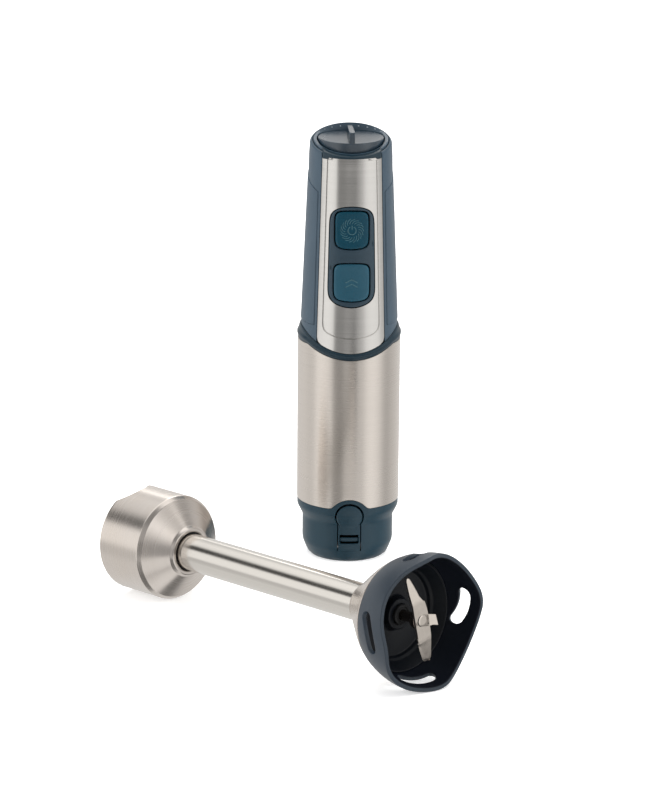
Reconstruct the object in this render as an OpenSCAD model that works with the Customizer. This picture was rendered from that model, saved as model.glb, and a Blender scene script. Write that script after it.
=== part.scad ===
// Immersion blender: a standing motor unit and its detached blending rod.
// Millimetres, +Z up. The origin is the centre of the motor unit's base, on the
// surface it stands on. The controls face -Y, and the cord leaves toward +Y.

/* [Motor unit] */
// Radius of the steel motor sleeve
sleeve_r = 27.5; // [26:0.5:29]
// Radius of the plastic neck that the rod's cup slides over
neck_r = 24.4; // [23.6:0.1:24.4]
// Height of the neck's conical shoulder, where the cup's rim stops
band_z = 27.5; // [26.5:0.5:28]
// Height of the steel sleeve's lower edge
sleeve_z = 31.2; // [31:0.1:32]
// Height of the steel sleeve's upper edge
collar_z = 120; // [119:0.5:121]
// Height of the dial's flat face
dial_z = 229; // [228:0.5:230]
// Radius of the speed dial
dial_r = 17.4; // [16.5:0.1:17.4]

/* [Controls] */
// Half width of the button bezel
bezel_x = 12.4; // [12:0.1:12.6]
// Inward travel of the two buttons
button_travel = 1.5; // [0.5:0.1:1.5]
// Radius of the round release button
release_r = 7.2; // [6.6:0.1:7.2]

/* [Blending rod] */
// Radius of the steel tube
tube_r = 9.6; // [9.2:0.1:10]
// Length from the cup's rim to the guard's feet
rod_len = 218.9; // [215:0.1:225]
// Outer radius of the blade guard
guard_r = 34.6; // [34:0.1:37]
// Reach of the two long blade wings
blade_reach = 23.7; // [20:0.1:26]

/* [Rod resting place] */
// Where the centre of the cup's rim lies
rod_x = -112; // [-130:1:-100]
rod_y = -60.5; // [-70:0.5:-55]
// Direction of the rod, clockwise from +X
rod_heading = 48.4; // [40:0.1:55]
// Roll of the rod about its own axis
rod_roll = 10; // [0:1:20]

/* [Hidden] */

$fn = 96;
eps = 0.01;
fit_gap = 0.3;      // gap between parts that move against each other
seam_gap = 0.15;    // gap between fixed covers

slate = [0.24, 0.29, 0.34];
dark_slate = [0.15, 0.20, 0.25];
teal = [0.12, 0.34, 0.43];
steel = [0.78, 0.77, 0.75];
black = [0.06, 0.06, 0.07];
copper = [0.72, 0.45, 0.25];
brass = [0.80, 0.66, 0.35];
board_green = [0.10, 0.36, 0.22];

// Base housing
floor_r = 20.3;             // flat foot the unit stands on
foot_chamfer_z = 7.4;       // height where the foot's taper meets the neck
neck_top_z = 21.5;          // where the neck opens into the shoulder
band_r = sleeve_r - 0.2;
spigot_r = sleeve_r - 1.25; // part of the base inside the sleeve
spigot_z = 42;
opening_r = 11;             // opening under the drive socket

// Release latch
latch_z = 26.1;             // height of the round button's centre
latch_gap = 0.7;            // round the button
latch_lift = 0.3;           // the opening sits this much higher than the button
latch_frame_z = 25.5;       // centre of the arch above the button
latch_frame_r = 11;
tongue_x = 5.9;             // half width of the tongue below the button
tongue_gap = 0.6;           // width of the slits beside it
tongue_root_z = 6.5;        // where the tongue bends
tongue_t = 1.9;
tongue_relief = 0.3;         // the tongue's spring section is that much thinner
tongue_step_z = 16.4;        // where its full thickness begins
hook_z = [10.9, 16];        // window in the tongue
hook_bar_z = [12, 14.3];    // bar across it

// Handle: a straight taper, rounded in toward the top
handle_low_z = 116;
handle_low_r = 26.3;
handle_high_z = 214;
handle_high_r = 22.2;
handle_top_z = 236;
shell_wall = 3.2;
collar_top_z = 128.4;       // upper edge of the collar at the sides and the back
top_slope = 10.2;           // slant of the top face, down to the front
top_mid_z = 228.2;          // height of the slanted top face on the axis
lip_z = 220.9;              // lower edge of the lip above the front panel
bezel_floor_z = 222.2;      // bottom of the dial's recess
bezel_seat_r = 20.2;        // dial bezel where it sits in the shell
bezel_plug_r = 18.4;        // dial bezel below that

// Front panel outline: half widths at its top and bottom
panel_top_x = 15.5;
panel_low_x = 17.9;
panel_low_z = 122;
panel_dip = 4.8;            // how far the middle of its lower edge hangs down
panel_t = 0.9;
edge_arc_r = 44;            // curve of the sleeve's upper edge at the front
edge_low_z = 113.6;

// Side grips
grip_t = 1.1;
grip_top_z = 209;           // height of a grip's upper edge at the side
grip_slope = 24;            // slant of that edge, down to the front
grip_back_x = 7;            // half width of the strip between the grips at the back
grip_seam = 1.6;            // width of the strip between a grip and the panel

// Buttons: half width and heights
bezel_z = [142.4, 196.8];
power_x = 8.6;
power_z = [173.9, 193.8];
turbo_x = 9.2;
turbo_z = [145.8, 165.7];
corner_r = 4;
switch_y = -16.4;           // front faces of the microswitches
board_y = 2;                // front face of the control board
board_t = 1.6;

// Motor
shaft_r = 3;
bearing_gap = 0.04;
lower_bearing_z = 46.4;
upper_bearing_z = 103;
core_z = [56, 84];
core_r = 15.6;
air_gap = 0.5;
stator_r = 25.6;

// Rod stations along its own axis, from the cup's rim
cup_depth = 28.5;           // straight part of the cup
cup_wall = 0.9;
cup_bore_r = 24.6;
notch_depth = 5.9;          // of the notch in the cup's rim
notch_r = 13.2;
cup_shoulder = [31, 25.9];  // [station, radius] where the cone starts
nose = [39.6, 12.6];        // [station, radius] of the rolled nose
bell_start = 170.3;
bell_cone_end = [187.5, 24.1];
bell_arc_r = 47.8;
bell_arc_station = 217.4;
guard_seam = 194.3;         // where the steel bell ends and the guard is seen
guard_wall = 2.2;
foot_depth = 4.8;           // how far the rim is cut back between its feet
slot_station = 206.3;
slot_half_len = 7;
slot_r = 3.3;
slot_slant = 19;
slot_turn = -11;            // direction of the first slot round the rod
drive_r = 2.6;              // radius of the rod's drive shaft
blade_station = 209.5;
blade_turn = -87.5;         // direction of its upper wing as it rests
wing_tilt = [-7, -5, 9];    // upper, lower and side wing, positive toward the feet
rod_tilt = asin((guard_r - sleeve_r) / (rod_len - 7.5));

// ---------- shapes used by several parts ----------

// Outer radius of the handle at height z
function handle_r(z) =
    z <= handle_high_z ?
        handle_low_r - (handle_low_r - handle_high_r) * (z - handle_low_z) / (handle_high_z - handle_low_z) :
        handle_high_r - 1.6 * pow((z - handle_high_z) / (handle_top_z - handle_high_z), 2);

// Solid of the handle's outer form between two heights, grown by d, in short
// cones whose joints fall at the same heights in every cover
module handle_form(z0, z1, d = 0) {
    joints = concat([for (z = [118:16:206]) z], [for (z = [handle_high_z:4:handle_top_z - 1]) z]);
    levels = concat([z0], [for (z = joints) if (z > z0 && z < z1) z], [z1]);
    rotate_extrude() polygon(concat([[0, z0]], [for (z = levels) [handle_r(z) + d, z]], [[0, z1]]));
}

module ring(r_out, r_in, z0, z1) {
    translate([0, 0, z0]) difference() {
        cylinder(r = r_out, h = z1 - z0);
        translate([0, 0, -1]) cylinder(r = r_in, h = z1 - z0 + 2);
    }
}

// An outline in the XZ plane, pushed through the front half of the unit
module front_extrude(depth = 40) {
    translate([0, -eps, 0]) rotate([90, 0, 0]) linear_extrude(depth) children();
}

// Rectangle with round corners, from its half width and two heights
module rounded_plate(half_x, z, r) {
    for (side = [-1, 1], level = [z[0] + r, z[1] - r])
        translate([side * (half_x - r), level]) circle(r = r, $fn = 48);
    translate([-half_x, z[0] + r]) square([2 * half_x, z[1] - z[0] - 2 * r]);
    translate([-half_x + r, z[0]]) square([2 * (half_x - r), z[1] - z[0]]);
}

// Radius of the curved edge where the collar meets the panel and the shell
function collar_arc_r() = (pow(panel_low_x, 2) + pow(panel_dip, 2)) / (2 * panel_dip);

// Outline of the steel front panel, grown by d
module panel_outline(d = 0) {
    arc_r = collar_arc_r();
    top = lip_z + 0.4 + d;
    intersection() {
        polygon([[-panel_low_x - d, panel_low_z - panel_dip - d - 1],
                 [panel_low_x + d, panel_low_z - panel_dip - d - 1],
                 [panel_low_x + d, panel_low_z], [panel_top_x + d, top],
                 [-panel_top_x - d, top], [-panel_low_x - d, panel_low_z]]);
        union() {
            translate([0, panel_low_z - panel_dip + arc_r]) circle(r = arc_r + d, $fn = 180);
            translate([-40, panel_low_z + 8]) square([80, 110]);
        }
    }
}

// Everything below the slanted top face, raised by d
module below_top(d = 0) {
    translate([0, 0, top_mid_z + d]) rotate([top_slope, 0, 0])
        translate([-60, -60, -160]) cube([120, 120, 160]);
}

// Space above the curved upper edge of the steel sleeve, lowered by d
module above_sleeve_edge(d = 0) {
    translate([0, 0, edge_low_z + edge_arc_r]) rotate([90, 0, 0])
        cylinder(r = edge_arc_r + d, h = 60);
    translate([-60, -60, collar_z - d]) cube([120, 120, 120]);
}

// Space above the collar's curved upper edge, lowered by d
module above_collar(d = 0) {
    translate([0, 0, panel_low_z - panel_dip + collar_arc_r()]) rotate([90, 0, 0])
        cylinder(r = collar_arc_r() + d, h = 60);
    translate([-60, -60, collar_top_z - d]) cube([120, 120, 120]);
}

// Everything above the slanted top face, raised by d
module above_top(d = 0) {
    translate([0, 0, top_mid_z + d]) rotate([top_slope, 0, 0])
        translate([-60, -60, 0]) cube([120, 120, 60]);
}

// Puts a part drawn along +Z from the cup's rim into its resting place
module on_rod() {
    translate([rod_x, rod_y, sleeve_r * cos(rod_tilt)])
        rotate([0, 0, -rod_heading]) rotate([0, 90 - rod_tilt, 0])
            rotate([0, 0, 180 + rod_roll]) children();
}

// ---------- motor unit: housing ----------

module base_housing() {
    wall_r = neck_r - 2.4;
    color(dark_slate) difference() {
        union() {
            rotate_extrude() polygon([
                [opening_r, 0], [floor_r, 0], [floor_r + 1.1, 0.8], [neck_r - 0.3, foot_chamfer_z],
                [neck_r, foot_chamfer_z + 2], [neck_r, neck_top_z], [band_r, band_z],
                [band_r, sleeve_z - 0.1], [spigot_r, sleeve_z - 0.1], [spigot_r, spigot_z],
                [spigot_r - 1.6, spigot_z], [spigot_r - 1.6, sleeve_z], [wall_r, band_z - 1],
                [wall_r, foot_chamfer_z], [wall_r - 4, 3.2], [opening_r, 3.2]]);
            // arch round the release button, standing in the sleeve's lower edge
            intersection() {
                latch_arch();
                ring(band_r + 0.1, spigot_r - 1.6, band_z, spigot_z);
            }
        }
        // opening for the release button, the tongue and the slits beside it
        translate([0, 0, latch_z + latch_lift]) rotate([90, 0, 0])
            cylinder(r = release_r + latch_gap, h = 40);
        front_extrude() translate([-tongue_x - tongue_gap, tongue_root_z])
            square([2 * (tongue_x + tongue_gap), latch_z - tongue_root_z]);
    }
}

// Rod-shaped space of the latch's arch, widened by d
module latch_arch(d = 0) {
    translate([0, 0, latch_frame_z]) rotate([90, 0, 0]) cylinder(r = latch_frame_r + d, h = 40);
}

// Spring tongue in the neck's wall, with the round release button at its end
module release_latch() {
    inner_r = neck_r - tongue_t;
    color(slate) {
        difference() {
            intersection() {
                rotate_extrude() polygon([
                    [inner_r - 0.6, tongue_root_z], [neck_r - 1.1, tongue_root_z],
                    [neck_r - tongue_relief, foot_chamfer_z + 2], [neck_r - tongue_relief, tongue_step_z],
                    [neck_r, tongue_step_z + 0.6], [neck_r, latch_z], [inner_r, latch_z],
                    [inner_r, foot_chamfer_z + 2]]);
                front_extrude() translate([-tongue_x, tongue_root_z + 0.1])
                    square([2 * tongue_x, latch_z - release_r * 0.6 - tongue_root_z]);
            }
            // window that the cup's catch snaps into, crossed by a bar set deeper
            front_extrude() difference() {
                translate([-5.3, hook_z[0]]) square([10.6, hook_z[1] - hook_z[0]]);
                translate([-5, hook_bar_z[0]]) square([10, hook_bar_z[1] - hook_bar_z[0]]);
            }
        }
        intersection() {
            translate([0, 0, latch_z]) rotate([90, 0, 0]) cylinder(r = release_r, h = 40);
            rotate_extrude() polygon([
                [inner_r, latch_z - release_r - 1], [neck_r - tongue_relief, latch_z - release_r - 1],
                [neck_r - tongue_relief, neck_top_z], [neck_r + 0.6, latch_z - 3],
                [band_r + 0.1, latch_z + 1.5],
                [band_r + 0.2, latch_z + release_r + 1], [inner_r, latch_z + release_r + 1]]);
        }
        intersection() {
            ring(neck_r - 0.7, inner_r, hook_bar_z[0], hook_bar_z[1]);
            front_extrude() translate([-5.4, hook_bar_z[0]]) square([10.8, 3]);
        }
    }
}

module motor_sleeve() {
    color(steel) difference() {
        ring(sleeve_r, sleeve_r - 1, sleeve_z, collar_z);
        above_sleeve_edge();
        latch_arch(0.1);
    }
}

// Flared ring between the sleeve and the handle, with a spigot inside the sleeve
module collar_ring() {
    low_z = edge_low_z - 1;
    color(slate) difference() {
        union() {
            intersection() {
                rotate_extrude() polygon([
                    [spigot_r - 0.1, low_z], [band_r, low_z], [band_r + 0.1, collar_z],
                    [27.7, 121.6], [27.9, 122.8], [27.8, 123.7], [27.3, 124.7], [26.75, 126.6],
                    [26.3, 128], [26, collar_top_z], [23.3, collar_top_z], [23.3, 124],
                    [spigot_r - 1.6, 121], [spigot_r - 1.6, low_z + 1]]);
                above_sleeve_edge(-0.1);
            }
            ring(spigot_r, spigot_r - 1.6, 104, collar_z + 2);
        }
        above_collar(seam_gap);
    }
}

// Recess for the front panel: its full outline near the surface
module front_window(gap) {
    difference() {
        front_extrude() panel_outline(gap);
        handle_form(100, handle_top_z, -panel_t - 0.3);
    }
}

module handle_shell() {
    color(slate) difference() {
        intersection() {
            handle_form(handle_low_z, handle_top_z);
            above_collar();
        }
        handle_form(handle_low_z - 1, handle_top_z + 1, -shell_wall);
        above_top(-0.9);
        front_window(seam_gap);
        grip_recess(-1, seam_gap);
        grip_recess(1, seam_gap);
        // open front, closed by the panel, the bezel and the switch bracket
        front_extrude() translate([-bezel_x - 0.6, bezel_z[0] - 0.6])
            square([2 * bezel_x + 1.2, bezel_z[1] - bezel_z[0] + 1.2]);
        gland_hole();
        // seat of the dial bezel and place of its front lip
        translate([0, 0, bezel_floor_z]) cylinder(r = bezel_seat_r + seam_gap, h = 30);
        translate([0, 0, bezel_floor_z - 2.6]) cylinder(r = bezel_plug_r + seam_gap, h = 30);
        front_extrude() translate([-panel_top_x - seam_gap, lip_z])
            square([2 * (panel_top_x + seam_gap), 40]);
    }
}

// Place and direction of the cord's way out, at the top of the back
module gland_axis() {
    translate([0, 21, 222]) rotate([-75, 0, 0]) children();
}

module gland_hole() {
    gland_axis() {
        translate([0, 0, -1.7]) cylinder(r = 5.2, h = 12);
        translate([0, 0, 1.5]) cylinder(r = 7.35, h = 12);
    }
}

// Space that a side grip fills; side is -1 for left, 1 for right
module grip_recess(side, gap = 0) {
    low_x = panel_low_x + grip_seam - gap;
    top_x = panel_top_x + grip_seam - gap;
    difference() {
        handle_form(handle_low_z + 1, handle_top_z, 0.5);
        handle_form(handle_low_z, handle_top_z + 1, -grip_t - gap);
        // the front seam follows the edge of the panel
        rotate([90, 0, 0]) linear_extrude(40) polygon([
            [-low_x, 100], [low_x, 100], [low_x, panel_low_z], [top_x, 221], [top_x, 250],
            [-top_x, 250], [-top_x, 221], [-low_x, panel_low_z]]);
        translate([-grip_back_x + gap, 0, 100]) cube([2 * (grip_back_x - gap), 40, 150]);
        translate([side > 0 ? -60 : 0, -60, 100]) cube([60, 120, 150]);
        // slanted upper edge
        translate([0, 0, grip_top_z + gap]) rotate([grip_slope, 0, 0])
            translate([-60, -80, 0]) cube([120, 160, 60]);
        translate([-60, -60, 100]) cube([120, 120, collar_top_z + 2.2 - gap - 100]);
    }
}

module grip(side) {
    color(dark_slate) intersection() {
        grip_recess(side);
        handle_form(handle_low_z, handle_top_z, 0.1);
    }
}

module left_grip() { grip(-1); }
module right_grip() { grip(1); }

module front_panel() {
    color(steel) difference() {
        intersection() {
            handle_form(edge_low_z, handle_top_z, 0.15);
            front_extrude() panel_outline();
        }
        handle_form(edge_low_z - 1, handle_top_z + 1, -panel_t);
        front_extrude() rounded_plate(bezel_x + 0.1, [bezel_z[0] - 0.1, bezel_z[1] + 0.1], 7);
    }
}

module button_bezel() {
    color(slate) difference() {
        intersection() {
            handle_form(130, 210, 0.7);
            front_extrude() rounded_plate(bezel_x, bezel_z, 6.9);
        }
        handle_form(129, 211, -3.1);
        for (key = [[power_x, power_z], [turbo_x, turbo_z]])
            front_extrude() rounded_plate(key[0] + fit_gap,
                [key[1][0] - fit_gap, key[1][1] + fit_gap], corner_r);
    }
}

module dial_bezel() {
    color(slate) difference() {
        union() {
            translate([0, 0, bezel_floor_z - 2.5]) cylinder(r = bezel_plug_r, h = 20);
            translate([0, 0, bezel_floor_z + 0.1]) cylinder(r = bezel_seat_r, h = 20);
            intersection() {
                handle_form(lip_z + 0.5, handle_top_z, 0.1);
                front_extrude() translate([-panel_top_x, lip_z + 0.5]) square([2 * panel_top_x, 20]);
                translate([0, 0, lip_z]) cylinder(r = 40, h = 4.2);
            }
        }
        above_top(0);
        translate([0, 0, bezel_floor_z]) cylinder(r = dial_r + 0.5, h = 20);
        translate([0, 0, 200]) cylinder(r = shaft_r + 0.4, h = 40);
        gland_hole();
    }
}

// Raised marks round the back of the dial, longer toward the fast end
module dial_scale() {
    marks = 9;
    color([0.8, 0.83, 0.85]) intersection() {
        for (i = [0:marks - 1]) {
            long = 0.5 + 0.11 * i;
            rotate([0, 0, 150 - i * 15]) translate([19.05, 0, 231])
                cube([long, 0.45, 14], center = true);
        }
        difference() {
            below_top(0.14);
            below_top(0);
        }
    }
}

module cord_gland() {
    color(black) gland_axis() difference() {
        union() {
            translate([0, 0, -1.5]) cylinder(r = 5, h = 4);
            translate([0, 0, 1.6]) cylinder(r = 7.2, h = 3.4);
            translate([0, 0, 5]) cylinder(r1 = 7.2, r2 = 6.2, h = 2);
        }
        cylinder(r = 3.6, h = 40, center = true);
    }
}

// ---------- motor unit: controls ----------

module dial_cap() {
    rib_x = 1.5;
    rib_rise = [6.1, 2.9];      // at the front and at the back
    color(slate) {
        translate([0, 0, dial_z - 5.6]) cylinder(r = dial_r, h = 5.6);
        intersection() {
            rotate([90, 0, 90]) translate([0, 0, -rib_x]) linear_extrude(2 * rib_x) polygon([
                [-dial_r, dial_z - 1], [dial_r, dial_z - 1],
                [dial_r, dial_z + rib_rise[1]], [-dial_r, dial_z + rib_rise[0]]]);
            translate([0, 0, dial_z - 2]) cylinder(r = dial_r - 0.5, h = 12);
        }
    }
}

module dial_spindle() {
    color(steel) translate([0, 0, 204]) cylinder(r = shaft_r, h = dial_z - 5.6 - 204);
}

module speed_potentiometer() {
    color(black) ring(8, shaft_r + 0.06, 205, 213);
}

// A push button: a curved cap, and a stem that reaches its switch
module push_button(half_x, z, tone) {
    mid = (z[0] + z[1]) / 2;
    back_y = switch_y - 0.3 - button_travel;
    color(tone) {
        difference() {
            intersection() {
                handle_form(130, 210, 0.9);
                front_extrude() rounded_plate(half_x, z, corner_r - fit_gap);
            }
            handle_form(129, 211, -1.6);
        }
        translate([0, back_y, mid]) rotate([90, 0, 0])
            cylinder(r = 2, h = handle_r(mid) - 1 + back_y);
    }
}

module power_button() { push_button(power_x, power_z, teal); }
module turbo_button() { push_button(turbo_x, turbo_z, teal); }

// A thin raised mark on a button's face, cut from an outline
module raised_mark(z, rise) {
    color([0.35, 0.62, 0.68]) difference() {
        intersection() {
            handle_form(z - 12, z + 12, 0.9 + rise);
            front_extrude() translate([0, z]) children();
        }
        handle_form(z - 13, z + 13, 0.9);
    }
}

// Standby sign inside a ring of short swirling rays
module power_symbol() {
    rays = 20;
    raised_mark((power_z[0] + power_z[1]) / 2, 0.12) {
        difference() {
            circle(r = 2.3, $fn = 48);
            circle(r = 1.85, $fn = 48);
            translate([-0.7, 0]) square([1.4, 4]);
        }
        translate([-0.25, 0.6]) square([0.5, 2.4]);
        for (i = [0:rays - 1]) rotate(i * 360 / rays) translate([4.1, 0]) rotate(38)
            translate([0, -0.15]) square([2.3, 0.3]);
    }
}

// Double chevron for full speed
module turbo_symbol() {
    raised_mark((turbo_z[0] + turbo_z[1]) / 2, 0.12)
        for (shift = [-1.6, 1.2]) translate([0, shift])
            polygon([[-3.4, -1.2], [0, 1.2], [3.4, -1.2], [3.4, -0.4], [0, 2], [-3.4, -0.4]]);
}

// Channel that carries the two switches and, behind them, the control board
module switch_bracket() {
    color(black) difference() {
        union() {
            translate([-11, switch_y + 2.9, 136]) cube([22, 2, 66]);
            for (x = [-11, 9]) translate([x, switch_y + 2.9, 136]) cube([2, board_y - switch_y - 2.9, 66]);
        }
        for (z = [power_z, turbo_z]) translate([0, 0, (z[0] + z[1]) / 2])
            rotate([90, 0, 0]) cylinder(r = 1.6, h = 40);
        board_screw_places() cylinder(r = 0.75, h = 9);
    }
}

module microswitches() {
    color([0.5, 0.12, 0.1]) for (z = [power_z, turbo_z])
        translate([-4, switch_y, (z[0] + z[1]) / 2 - 6]) cube([8, 2.9, 12]);
}

// Board on the bracket's back, with three tall components and a connector
module control_board() {
    color(board_green) difference() {
        union() {
            translate([-11.5, board_y, 134]) cube([23, board_t, 70]);
            for (z = [146, 160, 174]) translate([-6, board_y + board_t, z]) cube([12, 7, 9]);
            translate([-7, board_y - 5, 182]) cube([14, 5, 8]);
        }
        board_screw_places() translate([0, 0, -4]) cylinder(r = 0.8, h = 9);
    }
}

// Places of the four board screws; +Z points into the bracket
module board_screw_places() {
    for (x = [-10, 10], z = [140, 198]) translate([x, board_y, z]) rotate([90, 0, 0]) children();
}

module board_screws() {
    color(steel) board_screw_places() {
        translate([0, 0, -board_t - 0.9]) cylinder(r = 1.5, h = 0.9);
        translate([0, 0, -board_t - 0.5]) cylinder(r = 0.7, h = 8);
    }
}

// ---------- motor unit: motor ----------

module spoked_bracket(z, hub_z) {
    difference() {
        union() {
            ring(spigot_r - 1.7, spigot_r - 4, z, z + 8);
            ring(8.6, 6.06, hub_z - 1, hub_z + 5);
            for (a = [45:90:315]) rotate([0, 0, a])
                translate([8, -2.5, min(z + 2, hub_z)]) cube([spigot_r - 11.5, 5, 3.2]);
        }
        translate([0, 0, hub_z - 4]) cylinder(r = 6.06, h = 20);
    }
}

module upper_bracket() { color(black) spoked_bracket(100, upper_bearing_z); }
module lower_bracket() { color(black) spoked_bracket(42.6, lower_bearing_z); }

module bearing(z) { color(brass) ring(6, shaft_r + bearing_gap, z, z + 4); }
module upper_bearing() { bearing(upper_bearing_z); }
module lower_bearing() { bearing(lower_bearing_z); }

module stator_core() {
    color([0.42, 0.42, 0.45]) difference() {
        translate([0, 0, core_z[0]]) cylinder(r = stator_r, h = core_z[1] - core_z[0]);
        translate([0, 0, 50]) cylinder(r = core_r + air_gap, h = 40);
        // winding pockets left and right of the two poles
        for (side = [-1, 1]) translate([side * 19 - 3.4, -13, 50]) cube([6.8, 26, 40]);
    }
}

module field_coils() {
    color(copper) for (side = [-1, 1]) translate([side * 19 - 3.2, -12.8, core_z[0] - 5])
        cube([6.4, 25.6, core_z[1] - core_z[0] + 10]);
}

module brush_holders() {
    color(black) for (side = [-1, 1]) difference() {
        translate([side > 0 ? 8.3 : -21.3, -3.4, 90.5]) cube([13, 6.8, 8]);
        translate([side > 0 ? 8 : -20.5, -2.3, 91.7]) cube([12.5, 4.6, 5.6]);
    }
}

module carbon_brushes() {
    color([0.2, 0.2, 0.2]) for (side = [-1, 1])
        translate([side > 0 ? 7.2 : -15.2, -2.2, 91.8]) cube([8, 4.4, 5.4]);
}

module brush_springs() {
    color(steel) for (side = [-1, 1], turn = [0:4])
        translate([side * (15.7 + turn), 0, 94.5]) rotate([0, 90, 0])
            rotate_extrude($fn = 32) translate([1.5, 0]) circle(r = 0.35, $fn = 16);
}

module motor_shaft() {
    color(steel) translate([0, 0, 8]) cylinder(r = shaft_r, h = 102);
}

module armature_core() {
    color([0.45, 0.45, 0.48]) difference() {
        ring(core_r, shaft_r, core_z[0], core_z[1]);
        for (a = [0:30:330]) rotate([0, 0, a]) translate([core_r - 3, -0.9, 50]) cube([6, 1.8, 40]);
    }
}

module armature_windings() {
    color(copper) {
        ring(12.6, shaft_r, core_z[0] - 4, core_z[0]);
        ring(12.6, shaft_r, core_z[1], core_z[1] + 4);
    }
}

module commutator() {
    color(brass) difference() {
        ring(7, shaft_r, 89, 99);
        for (a = [0:30:330]) rotate([0, 0, a]) translate([6.2, -0.25, 88]) cube([2, 0.5, 12]);
    }
}

module cooling_fan() {
    blades = 8;
    color([0.2, 0.2, 0.22]) {
        ring(7, shaft_r, 33, 39);
        ring(19.5, 7, 33, 34.5);
        for (i = [0:blades - 1]) rotate([0, 0, i * 360 / blades])
            translate([6.9, 0, 34.4]) rotate([0, 0, 20]) cube([12.5, 1.2, 4.6]);
    }
}

// Toothed socket that drives the rod's dog
module drive_socket() {
    color(black) difference() {
        translate([0, 0, 4]) cylinder(r = 8.2, h = 14);
        translate([0, 0, 3]) cylinder(r = 4.4, h = 9);
        for (a = [0:60:300]) rotate([0, 0, a]) translate([3.6, -0.9, 3]) cube([2.2, 1.8, 8]);
        translate([0, 0, 11]) cylinder(r = shaft_r, h = 10);
    }
}

// Bulkhead that keeps liquid out of the motor, set back behind the latch
module base_seal() {
    color(black) difference() {
        ring(neck_r - 2.45, shaft_r + fit_gap, 19, 21.4);
        translate([-tongue_x - 1.5, -30, 18]) cube([2 * tongue_x + 3, 30 - 19.4, 5]);
    }
}

// ---------- blending rod ----------

module coupling_cup() {
    cup_r = sleeve_r;
    inner = cup_r - cup_wall;
    color(steel) on_rod() difference() {
        rotate_extrude() polygon([
            [inner, 0], [cup_r, 0], [cup_r, cup_depth - 0.7], [cup_r - 0.25, cup_depth + 0.8],
            [cup_r - 0.85, cup_depth + 1.9], [cup_shoulder[1], cup_shoulder[0]],
            [nose[1] + 2.6, nose[0] - 1.6], [nose[1] + 0.9, nose[0] - 0.6], [nose[1], nose[0] + 1.4],
            [nose[1] - 0.9, nose[0] + 1.4], [nose[1] - 0.4, nose[0] - 1.2],
            [nose[1] + 2.1, nose[0] - 2.6], [cup_shoulder[1] - 0.6, cup_shoulder[0] - 1],
            [inner, cup_depth]]);
        translate([0, 0, notch_depth - notch_r]) rotate([0, 90, 0]) cylinder(r = notch_r, h = 40);
    }
}

module cup_insert() {
    color(slate) on_rod() difference() {
        rotate_extrude() polygon([
            [cup_bore_r, 1.2], [sleeve_r - cup_wall - 0.05, 1.2],
            [sleeve_r - cup_wall - 0.05, cup_depth - 0.6],
            [20, cup_depth + 1.2], [13.5, cup_depth + 4.6], [tube_r + 0.05, cup_depth + 5.4],
            [tube_r + 0.05, cup_depth - 3], [18, cup_depth - 3], [20.6, cup_depth - 7],
            [cup_bore_r, cup_depth - 7]]);
        translate([0, 0, notch_depth - notch_r]) rotate([0, 90, 0]) cylinder(r = notch_r + 0.1, h = 40);
        // catch groove for the latch's bar
        translate([cup_bore_r - 2, -5.6, 12.6]) cube([2.8, 11.2, 3.4]);
    }
}

module nose_ring() {
    color(black) on_rod() ring(nose[1] - 0.95, tube_r + 0.05, nose[0] - 1.1, nose[0] + 0.9);
}

module shaft_tube() {
    color(steel) on_rod() ring(tube_r, tube_r - 1, cup_depth - 3.5, bell_start + 3);
}

module bush(station, len) {
    color(black) on_rod() ring(tube_r - 1.05, drive_r + bearing_gap, station, station + len);
}

module upper_bush() { bush(30, 12); }
module middle_bush() { bush(96, 10); }
module lower_bush() { bush(150, 18); }

// Outer radius of the bell at a station along the rod
function bell_r(s) =
    s < bell_cone_end[0] ?
        bell_cone_end[1] - (bell_cone_end[1] - tube_r - 0.8) * (bell_cone_end[0] - s)
            / (bell_cone_end[0] - bell_start) :
        guard_r - bell_arc_r + sqrt(pow(bell_arc_r, 2) - pow(min(0, s - bell_arc_station), 2));

function bell_points(s0, s1, d, steps) =
    [for (i = [0:steps]) let (s = s0 + (s1 - s0) * i / steps) [bell_r(s) + d, s]];

module bell_housing() {
    outer = bell_points(bell_start + 1, guard_seam, 0, 10);
    inner = bell_points(guard_seam, bell_start + 3, -0.8, 10);
    color(steel) on_rod() rotate_extrude()
        polygon(concat([[tube_r + 0.02, bell_start - 1.5], [tube_r + 0.5, bell_start - 1.5]], outer, inner,
                       [[tube_r + 0.02, bell_start + 3]]));
}

// Plastic guard: a hub and floor inside the bell, and the wall with its four feet
module blade_guard() {
    rim = rod_len;
    cut_r = 52;
    color(dark_slate) on_rod() difference() {
        rotate_extrude() polygon(concat(
            [[drive_r + 2.6, bell_start + 6], [13.4, bell_start + 6]],
            bell_points(bell_start + 8, guard_seam - 0.4, -1.4, 8),
            bell_points(guard_seam + 0.3, rim, 0, 12),
            bell_points(rim, 200, -guard_wall, 9),
            [[23.5, 197], [23, 191.5], [drive_r + 5.4, 190.5], [drive_r + 5.4, 194.5],
             [drive_r + 2.6, 194.5]]));
        for (a = [45:90:315]) rotate([0, 0, a])
            translate([22, 0, rim - foot_depth + cut_r]) rotate([0, 90, 0]) cylinder(r = cut_r, h = 40);
        for (a = [0:90:270]) rotate([0, 0, a + slot_turn]) translate([20, 0, slot_station])
            rotate([slot_slant, 0, 0]) rotate([0, 90, 0]) linear_extrude(30) {
                for (side = [-1, 1]) translate([0, side * slot_half_len]) circle(r = slot_r, $fn = 48);
                translate([-slot_r, -slot_half_len]) square([2 * slot_r, 2 * slot_half_len]);
            }
    }
}

module shaft_seal() {
    color(black) on_rod() ring(drive_r + 2.5, drive_r + 0.08, 184, 197);
}

// ---------- rotating parts of the rod ----------

module drive_shaft() {
    color(steel) on_rod() translate([0, 0, 15]) cylinder(r = drive_r, h = blade_station - 15 + 1.4);
}

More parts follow.
